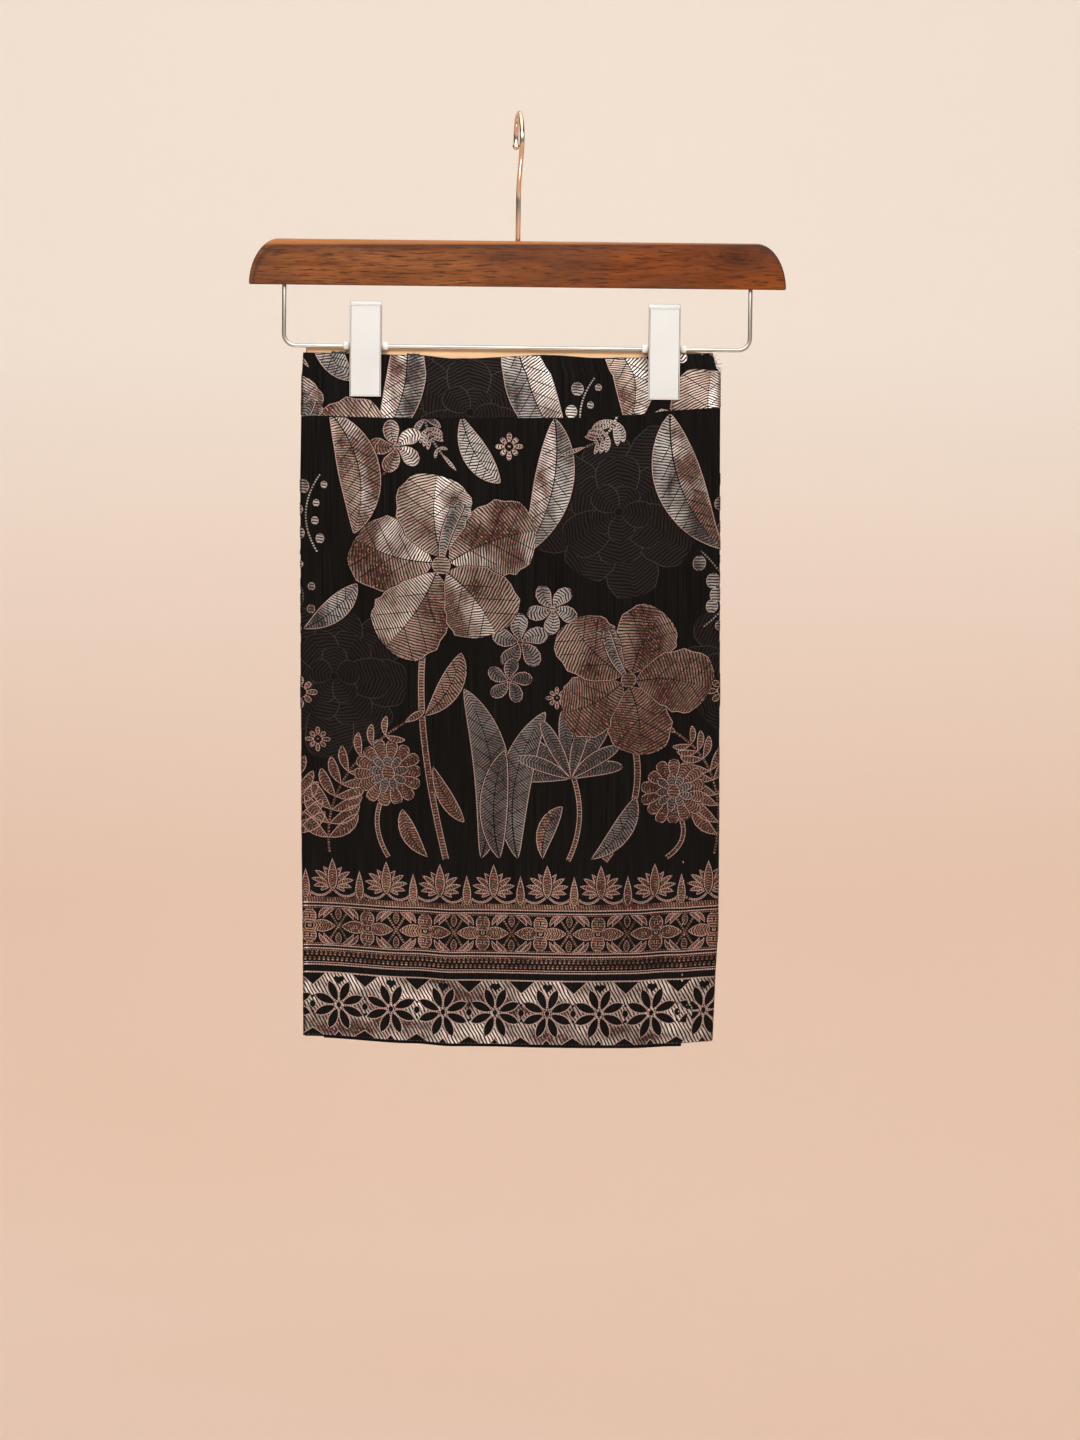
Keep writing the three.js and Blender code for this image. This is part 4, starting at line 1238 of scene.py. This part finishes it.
def loose_thread(name, points, width, sides, kind):
    """One bent end of thread, through points in millimetres."""
    thread = tube(name, points, width, sides)
    thread.data.transform(Matrix.Scale(MM, 4))
    link(thread, MATERIALS[kind])


def loose_threads():
    """Frayed ends at the top right corner and the scraps of seam that stand above the front's edge."""
    rnd = random.Random(11)
    for k in range(13):
        x, z = 136.8 + 0.36 * k, -170.5 - 0.85 * k + rnd.uniform(-0.4, 0.4)
        reach, drop = rnd.uniform(1.6, 4.2), rnd.uniform(-2.4, 1.2)
        y = rnd.uniform(-1.8, 2.6)
        bent = (x + reach * 0.5, y + rnd.uniform(-0.5, 0.5), z + drop * 0.35)
        points = [(x - 1.2, y, z), bent, (x + reach, y, z + drop)]
        loose_thread(f"frayed_end_{k}", points, 0.34, 6, ("bead_plain", "stitch", "stitch")[k % 3])
    for k, (left, right, rise) in enumerate(((-133, -122.5, 1.1), (-79.5, -71, 0.9), (96, 101, 0.8))):
        points = []
        for i, x in enumerate(np.linspace(left, right, 7)):
            above = rise * (0.55 + 0.3 * math.sin(2.1 * i + k))
            points.append((x, -1.2 + 0.3 * math.sin(3 * i), eased(x, HEIGHTS["x"], HEIGHTS["top"]) + above))
        loose_thread(f"seam_scrap_{k}", points, 1.3, 8, "stitch")


loose_threads()


# ---- stage, lights and camera

VIEW = {"mid": (14.6, 0, -429.4), "pitch": 6.0, "away": 7000, "tall": 1024.0, "sensor": 36}


def make_stage():
    """A pale sweep: floor, curve and wall in one sheet."""
    wall_y, floor_z, bend, wide, high = 8.5, -1.6, 3.0, 9.0, 6.0
    curve = [(wall_y - bend + y, floor_z + bend - z) for z, y in arc(bend, 0, math.pi / 2, 25)]
    profile = [(-9.0, floor_z), *curve, (wall_y, floor_z + high)]
    points = [(x, y, z) for x in (-wide, wide) for y, z in profile]
    sweep = mesh_object("backdrop", points, grid_faces(2, len(profile))[:, ::-1])
    bpy.context.scene.collection.objects.link(sweep)
    sweep.data.materials.append(backdrop_paint())


def aim(obj, target):
    """Turns a light or the camera towards a point."""
    obj.rotation_euler = (Vector(target) - obj.location).to_track_quat("-Z", "Y").to_euler()


LIGHTS = (  # name, place, aimed at, width and height, power, colour, spread in degrees
    ("key", (-1.1, -3.0, 1.1), (0, 0, -0.4), (0.9, 0.9), 14.2, (1.0, 0.98, 0.96), 180),
    ("near_top", (0.03, -0.5, 0.19), (0, 0, -0.25), (0.9, 0.2), 4.9, (1.0, 0.99, 0.98), 180),
    ("near_low", (-0.12, -0.42, -1.02), (-0.08, 0, -0.64), (0.4, 0.12), 1.8, (1.0, 0.98, 0.96), 180),
    ("wall_wash", (0, 5.4, 4.6), (0, 8.5, -1.2), (8.0, 2.0), 258, (1.0, 0.985, 0.965), 180),
    ("fill", (1.9, -2.2, -0.2), (0, 0, -0.4), (1.6, 2.2), 6, (1.0, 0.97, 0.95), 180),
    ("ceiling", (0, -1.0, 4.6), (0, -1.0, -1.6), (9.0, 9.0), 420, (1.0, 0.985, 0.965), 180),
    ("floor_front", (0, -6.6, 4.0), (0, -6.6, -1.6), (12.0, 4.5), 92, (1.0, 0.97, 0.95), 105),
    ("floor_left", (-6.8, 0, 4.0), (-6.8, 0, -1.6), (4.5, 9.0), 92, (1.0, 0.97, 0.95), 105),
    ("floor_right", (6.8, 0, 4.0), (6.8, 0, -1.6), (4.5, 9.0), 92, (1.0, 0.97, 0.95), 105),
)


def make_lights():
    for name, place, target, size, power, color, spread in LIGHTS:
        data = bpy.data.lights.new(name, "AREA")
        data.shape, data.size, data.size_y = "RECTANGLE", *size
        data.energy, data.color, data.spread = power, color, math.radians(spread)
        light = bpy.data.objects.new(name, data)
        light.location = place
        bpy.context.scene.collection.objects.link(light)
        aim(light, target)
    bpy.context.scene.world = soft_room()


def soft_room():
    """Dim light from all round, with a pale peach to look at beyond the sweep."""
    world = bpy.data.worlds.new("soft_room")
    world.use_nodes = True
    nodes, links = world.node_tree.nodes, world.node_tree.links
    dim, seen = nodes["Background"], nodes.new("ShaderNodeBackground")
    dim.inputs["Color"].default_value = (1.0, 0.96, 0.92, 1)
    dim.inputs["Strength"].default_value = 0.13
    seen.inputs["Color"].default_value = (0.87, 0.69, 0.55, 1)
    mix = nodes.new("ShaderNodeMixShader")
    links.new(nodes.new("ShaderNodeLightPath").outputs["Is Camera Ray"], mix.inputs["Fac"])
    links.new(dim.outputs[0], mix.inputs[1])
    links.new(seen.outputs[0], mix.inputs[2])
    links.new(mix.outputs[0], nodes["World Output"].inputs["Surface"])
    return world


def make_camera():
    """A long lens, far off and a little above, as a picture of a flat thing is taken."""
    data = bpy.data.cameras.new("camera")
    data.sensor_width = VIEW["sensor"]
    data.lens = VIEW["sensor"] * VIEW["away"] / VIEW["tall"]
    data.clip_end = 50
    camera = bpy.data.objects.new("camera", data)
    pitch = math.radians(VIEW["pitch"])
    middle = Vector(VIEW["mid"]) * MM
    camera.location = middle + Vector((0, -math.cos(pitch), math.sin(pitch))) * VIEW["away"] * MM
    bpy.context.scene.collection.objects.link(camera)
    aim(camera, middle)
    bpy.context.scene.camera = camera


make_stage()
make_lights()
make_camera()
bpy.context.scene.view_settings.view_transform = "Standard"
